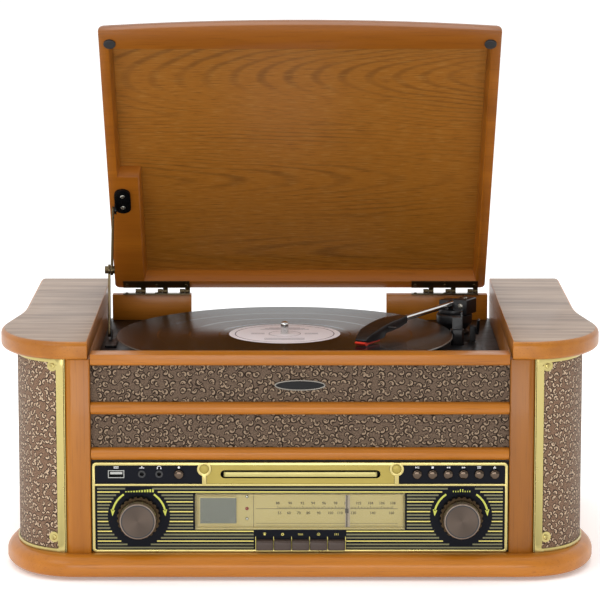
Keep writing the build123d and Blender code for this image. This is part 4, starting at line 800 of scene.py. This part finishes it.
# Record: a 12-inch long-playing disc of pressed vinyl, with grooves that stretch its reflections outwards,
# three smooth gaps between its tracks and a pale paper label that bears only rings and bars. The grooves are
# drawn up to 1 mm apart, ten times as coarse as real ones, so that they show.
spindle_x, spindle_y, record_radius, painted_highlight_start, label_radius = -0.0138, -0.0009, 0.151, 0.1499, 0.0496
vinyl, tree, shader = new_material("pressed_vinyl")
place = add_node(tree, "TexCoord").outputs["Object"]
local = add_node(tree, "VectorMath", {"operation": "SUBTRACT"},
                 {0: place, 1: (spindle_x, spindle_y, 0)}).outputs[0]
plan = add_node(tree, "VectorMath", {"operation": "MULTIPLY"}, {0: local, 1: (1, 1, 0)}).outputs[0]
reach = add_node(tree, "VectorMath", {"operation": "LENGTH"}, {0: plan}).outputs["Value"]
outwards = add_node(tree, "CombineXYZ", {}, {0: reach}).outputs[0]
groove = add_node(tree, "TexNoise", {}, {"Vector": outwards, "Scale": every(1.111), "Detail": 5.0,
                                            "Roughness": 0.7})
stops = [(0.0, "#000000")]
for gap in (0.390, 0.565, 0.755):
    stops += [(gap - 0.005, "#000000"), (gap - 0.002, "#FFFFFF")]
    stops += [(gap + 0.002, "#FFFFFF"), (gap + 0.005, "#000000")]
stops.append((1.0, "#000000"))
share = add_node(tree, "Math", {"operation": "DIVIDE"}, {0: reach, 1: record_radius}).outputs[0]
gaps = add_node(tree, "ValToRGB", {"stops": stops}, {"Fac": share}).outputs["Color"]
rough = add_node(tree, "MapRange", {}, {"Value": gaps, "To Min": 0.22, "To Max": 0.07})
bump = add_node(tree, "Bump", {}, {"Strength": 0.5, "Distance": 0.00004, "Height": groove.outputs["Fac"]})
round_spindle = add_node(tree, "Tangent", {"direction_type": "RADIAL", "axis": "Z"}).outputs[0]
feed(shader, {"Roughness": rough.outputs[0], "Normal": bump.outputs[0], "Base Color": linear("#0C0B0B"),
              "Specular IOR Level": 0.5, "Anisotropic": 0.62, "Anisotropic Rotation": 0.25,
              "Tangent": round_spindle})


def from_spindle(at):
    """How far a point lies from the spindle's axis."""
    return math.hypot(at.x - spindle_x, at.y - spindle_y)


record = finished("record", vinyl, "turntable")
# The label is matt uncoated paper with grey print. The record's smooth rim is painted lighter: a painted
# highlight where it catches the light.
paper_label = surface("paper_label", "#FDF7FB", 0.55, relief=0.000004)
label_ink = surface("label_ink", "#5E5364", 0.6)
rim_painted_highlight = surface("vinyl_rim_painted_highlight", "#6E665E", 0.2, relief=0.000002)
painted(record, rim_painted_highlight, lambda at, normal: from_spindle(at) > painted_highlight_start)
painted(record, paper_label, lambda at, normal: normal.z > 0.9 and from_spindle(at) < label_radius)
label_marks = [arc(0, 0, inner, outer, start, start + 180, sides)
               for inner, outer, sides in ((44.0, 44.7, 48), (14.0, 14.4, 32)) for start in (0, 180)]
label_marks += [bar(-22 + k, y, 22 - k, y + 1.0) for k, y in ((0, 22), (4, 26), (8, 30))]
label_marks += [bar(x, y, x + 12, y + 0.8) for x in (-30, 18) for y in (-2, 2)]
label_marks += [bar(-18, y, 18, y + 0.8) for y in (-24, -28, -32)]
label_face = Matrix.Translation((spindle_x, spindle_y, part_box("record")[1].z))
print_on("label_rings", label_marks, label_face, label_ink, "turntable")

# Tone arm: a chrome tube in a satin black die-cast gimbal, which two screws close, on a round base, with a
# black moulded headshell, a red stylus guard and a small lever that lifts the arm. The castings are painted
# black with a satin shine.
satin_black = surface("satin_black_casting", "#18181A", 0.35, relief=0.000008)
finished("arm_base", satin_black, "cabinet", 0.0003)
finished("arm_gimbal", satin_black, "arm_pivot", 0.0003)
finished("arm_tube", chrome, "arm")
finished("headshell", black_plastic, "arm", 0.0004)
finished("stylus", surface("red_stylus_guard", "#E03A28", 0.35), "arm")
finished("cue_lever", black_plastic, "cue", 0.0002)
screw("gimbal_screw", (0.1479, 0.0774, 0.1939), (-0.5, -0.866, 0), 0.0026, steel, "arm_pivot")
screw("gimbal_top_screw", (0.1525, 0.0863, 0.2003), (0, 0, 1), 0.0022, steel, "arm_pivot")

# Lid: a board veneered with crown-cut oak, which shows arched rings, in a plainer stained frame. Both are
# painted paler towards the hinges and darker towards the far edge: painted light and painted shade. At rest
# it stands open and leans back.
lid_up = (0, -0.653, 0.757)


def up_the_lid(tree, place):
    """How far a place lies up the open lid, in metres."""
    return add_node(tree, "VectorMath", {"operation": "DOT_PRODUCT"},
                    {0: place, 1: lid_up}).outputs["Value"]


def cathedral_veneer(name, pale, deep, pore, fleck):
    """Crown-cut oak on the open lid: arched rings that run across it, dark pores and pale flecks.

    The rings are 4 mm apart and lie round three hearts: the x of each, how far up the lid it is, and how
    much its rings are stretched across. The pores are 0.9 mm apart, coarser than real ones, to show.
    """
    hearts = ((0.260, 0.326, 0.18), (-0.260, 0.190, 0.09), (0.330, 0.090, 0.06))
    material, tree, shader = new_material(name)
    place = add_node(tree, "TexCoord").outputs["Object"]
    across = add_node(tree, "SeparateXYZ", {}, {0: place}).outputs[0]
    up = up_the_lid(tree, place)
    board = add_node(tree, "CombineXYZ", {}, {0: across, 1: up}).outputs[0]
    drawn = add_node(tree, "Mapping", {}, {"Vector": board, "Scale": (every(200), every(45.45), 1)}).outputs[0]
    drift = add_node(tree, "TexNoise", {}, {"Vector": drawn, "Scale": 1.0, "Detail": 3.0,
                                            "Roughness": 0.5}).outputs["Fac"]
    wavy = add_node(tree, "Math", {"operation": "MULTIPLY_ADD"}, {0: drift, 1: 0.022, 2: up}).outputs[0]
    nearest = None
    for x, u, stretch in hearts:
        dx = add_node(tree, "Math", {"operation": "MULTIPLY_ADD"},
                      {0: across, 1: stretch, 2: -x * stretch}).outputs[0]
        du = add_node(tree, "Math", {"operation": "SUBTRACT"}, {0: wavy, 1: u}).outputs[0]
        apart = add_node(tree, "CombineXYZ", {}, {0: dx, 1: du}).outputs[0]
        away = add_node(tree, "VectorMath", {"operation": "LENGTH"}, {0: apart}).outputs["Value"]
        nearest = away if nearest is None else add_node(
            tree, "Math", {"operation": "SMOOTH_MIN"}, {0: nearest, 1: away, 2: 0.01}).outputs[0]
    phase = add_node(tree, "Math", {"operation": "MULTIPLY"}, {0: nearest, 1: math.tau * every(4.333)}).outputs[0]
    ring = add_node(tree, "Math", {"operation": "SINE"}, {0: phase}).outputs[0]
    line = add_node(tree, "MapRange", {}, {"Value": ring, "From Min": 0.1, "From Max": 1.0}).outputs[0]
    patch = add_node(tree, "TexNoise", {}, {"Vector": drawn, "Scale": 0.9, "Detail": 2.0}).outputs["Fac"]
    weight = add_node(tree, "MapRange", {}, {"Value": patch, "From Min": 0.38, "From Max": 0.62,
                                             "To Min": 0.08, "To Max": 0.55})
    share = add_node(tree, "Math", {"operation": "MULTIPLY"}, {0: line, 1: weight.outputs[0]}).outputs[0]
    base = add_node(tree, "Mix", {"data_type": "RGBA"}, {0: share, 6: linear(pale), 7: linear(deep)}).outputs[2]
    hairs = add_node(tree, "Mapping", {}, {"Vector": board, "Scale": (every(16.67), every(0.909), 1)}).outputs[0]
    fine = add_node(tree, "TexNoise", {}, {"Vector": hairs, "Scale": 1.0, "Detail": 2.0,
                                           "Roughness": 0.6}).outputs["Fac"]
    for low, high, part, ink in ((0.56, 0.68, 0.55, pore), (0.44, 0.34, 0.45, fleck)):
        caught = add_node(tree, "MapRange", {}, {"Value": fine, "From Min": low, "From Max": high,
                                                 "To Max": part}).outputs[0]
        base = add_node(tree, "Mix", {"data_type": "RGBA"}, {0: caught, 6: base, 7: linear(ink)}).outputs[2]
    bump = add_node(tree, "Bump", {"invert": True}, {"Strength": 0.4, "Distance": 0.00004, "Height": fine})
    feed(shader, {"Base Color": base, "Normal": bump.outputs[0], "Roughness": 0.42, "Coat Weight": 0.15,
                  "Coat Roughness": 0.25})
    return material


def painted_light_and_shade_up_lid(material, near, far):
    """Painted light and shade: a wood's colour times one factor at the lid's hinges, another at its far edge."""
    tree = material.node_tree
    colour = tree.nodes["Principled BSDF"].inputs["Base Color"]
    up = up_the_lid(tree, add_node(tree, "TexCoord").outputs["Object"])
    factor = add_node(tree, "MapRange", {}, {"Value": up, "From Min": 0.05, "From Max": 0.35,
                                             "To Min": near, "To Max": far})
    scaled = add_node(tree, "VectorMath", {"operation": "SCALE"},
                      {0: colour.links[0].from_socket, "Scale": factor.outputs[0]})
    tree.links.new(scaled.outputs[0], colour)
    return material


lid_wood = cathedral_veneer("crown_cut_oak_lid", "#975E1A", "#633B0D", "#54310A", "#AC8044")
finished("lid_panel", painted_light_and_shade_up_lid(lid_wood, 1.32, 0.86), "lid")
lid_rails = stained_wood("stained_lid_frame", "#9C5C16", "#864B10", "#5D350B", along_x)
finished("lid_frame", painted_light_and_shade_up_lid(lid_rails, 1.45, 0.84), "lid", 0.0004)
finished("lid_bumpers", rubber, "lid")

# Stay and hinges: pressed steel plated in antique brass, dark with a yellow sheen, and a glossy black bracket
# on the lid. Two screws hold the bracket and three each leaf.
antique = surface("antique_brass_plate", "#5E513A", 0.3, metal=0.9, relief=0.000006)
finished("stay_lid_bracket", black_gloss, "lid", 0.0003)
finished("stay_upper_arm", antique, "stay_upper", 0.0002)
finished("stay_lower_arm", antique, "stay_lower", 0.0002)
finished("stay_deck_bracket", satin_black, "cabinet", 0.0002)
finished("hinge_cabinet_leaves", antique, "cabinet")
finished("hinge_lid_leaves", antique, "lid")
out_of_lid = (0, -lid_up[2], lid_up[1])
bracket_y, bracket_z, leaf_middles, leaf_step = 0.0844, 0.2898, (-0.1361, 0.1374), 0.028
for turn in (-1, 1):
    on_bracket = (-0.163, bracket_y - 0.0049 * turn, bracket_z + 0.0057 * turn)
    screw("stay_plate_screw", on_bracket, out_of_lid, 0.0021, steel, "lid")
for hinge_x in leaf_middles:
    for shift in (-leaf_step, 0.0, leaf_step):
        x = hinge_x + shift
        screw("lid_leaf_screw", (x, 0.1642, 0.2000), out_of_lid, 0.0017, antique, "lid")
        screw("cabinet_leaf_screw", (x, 0.1612, 0.1928), (0, 0, 1), 0.0017, antique, "cabinet")
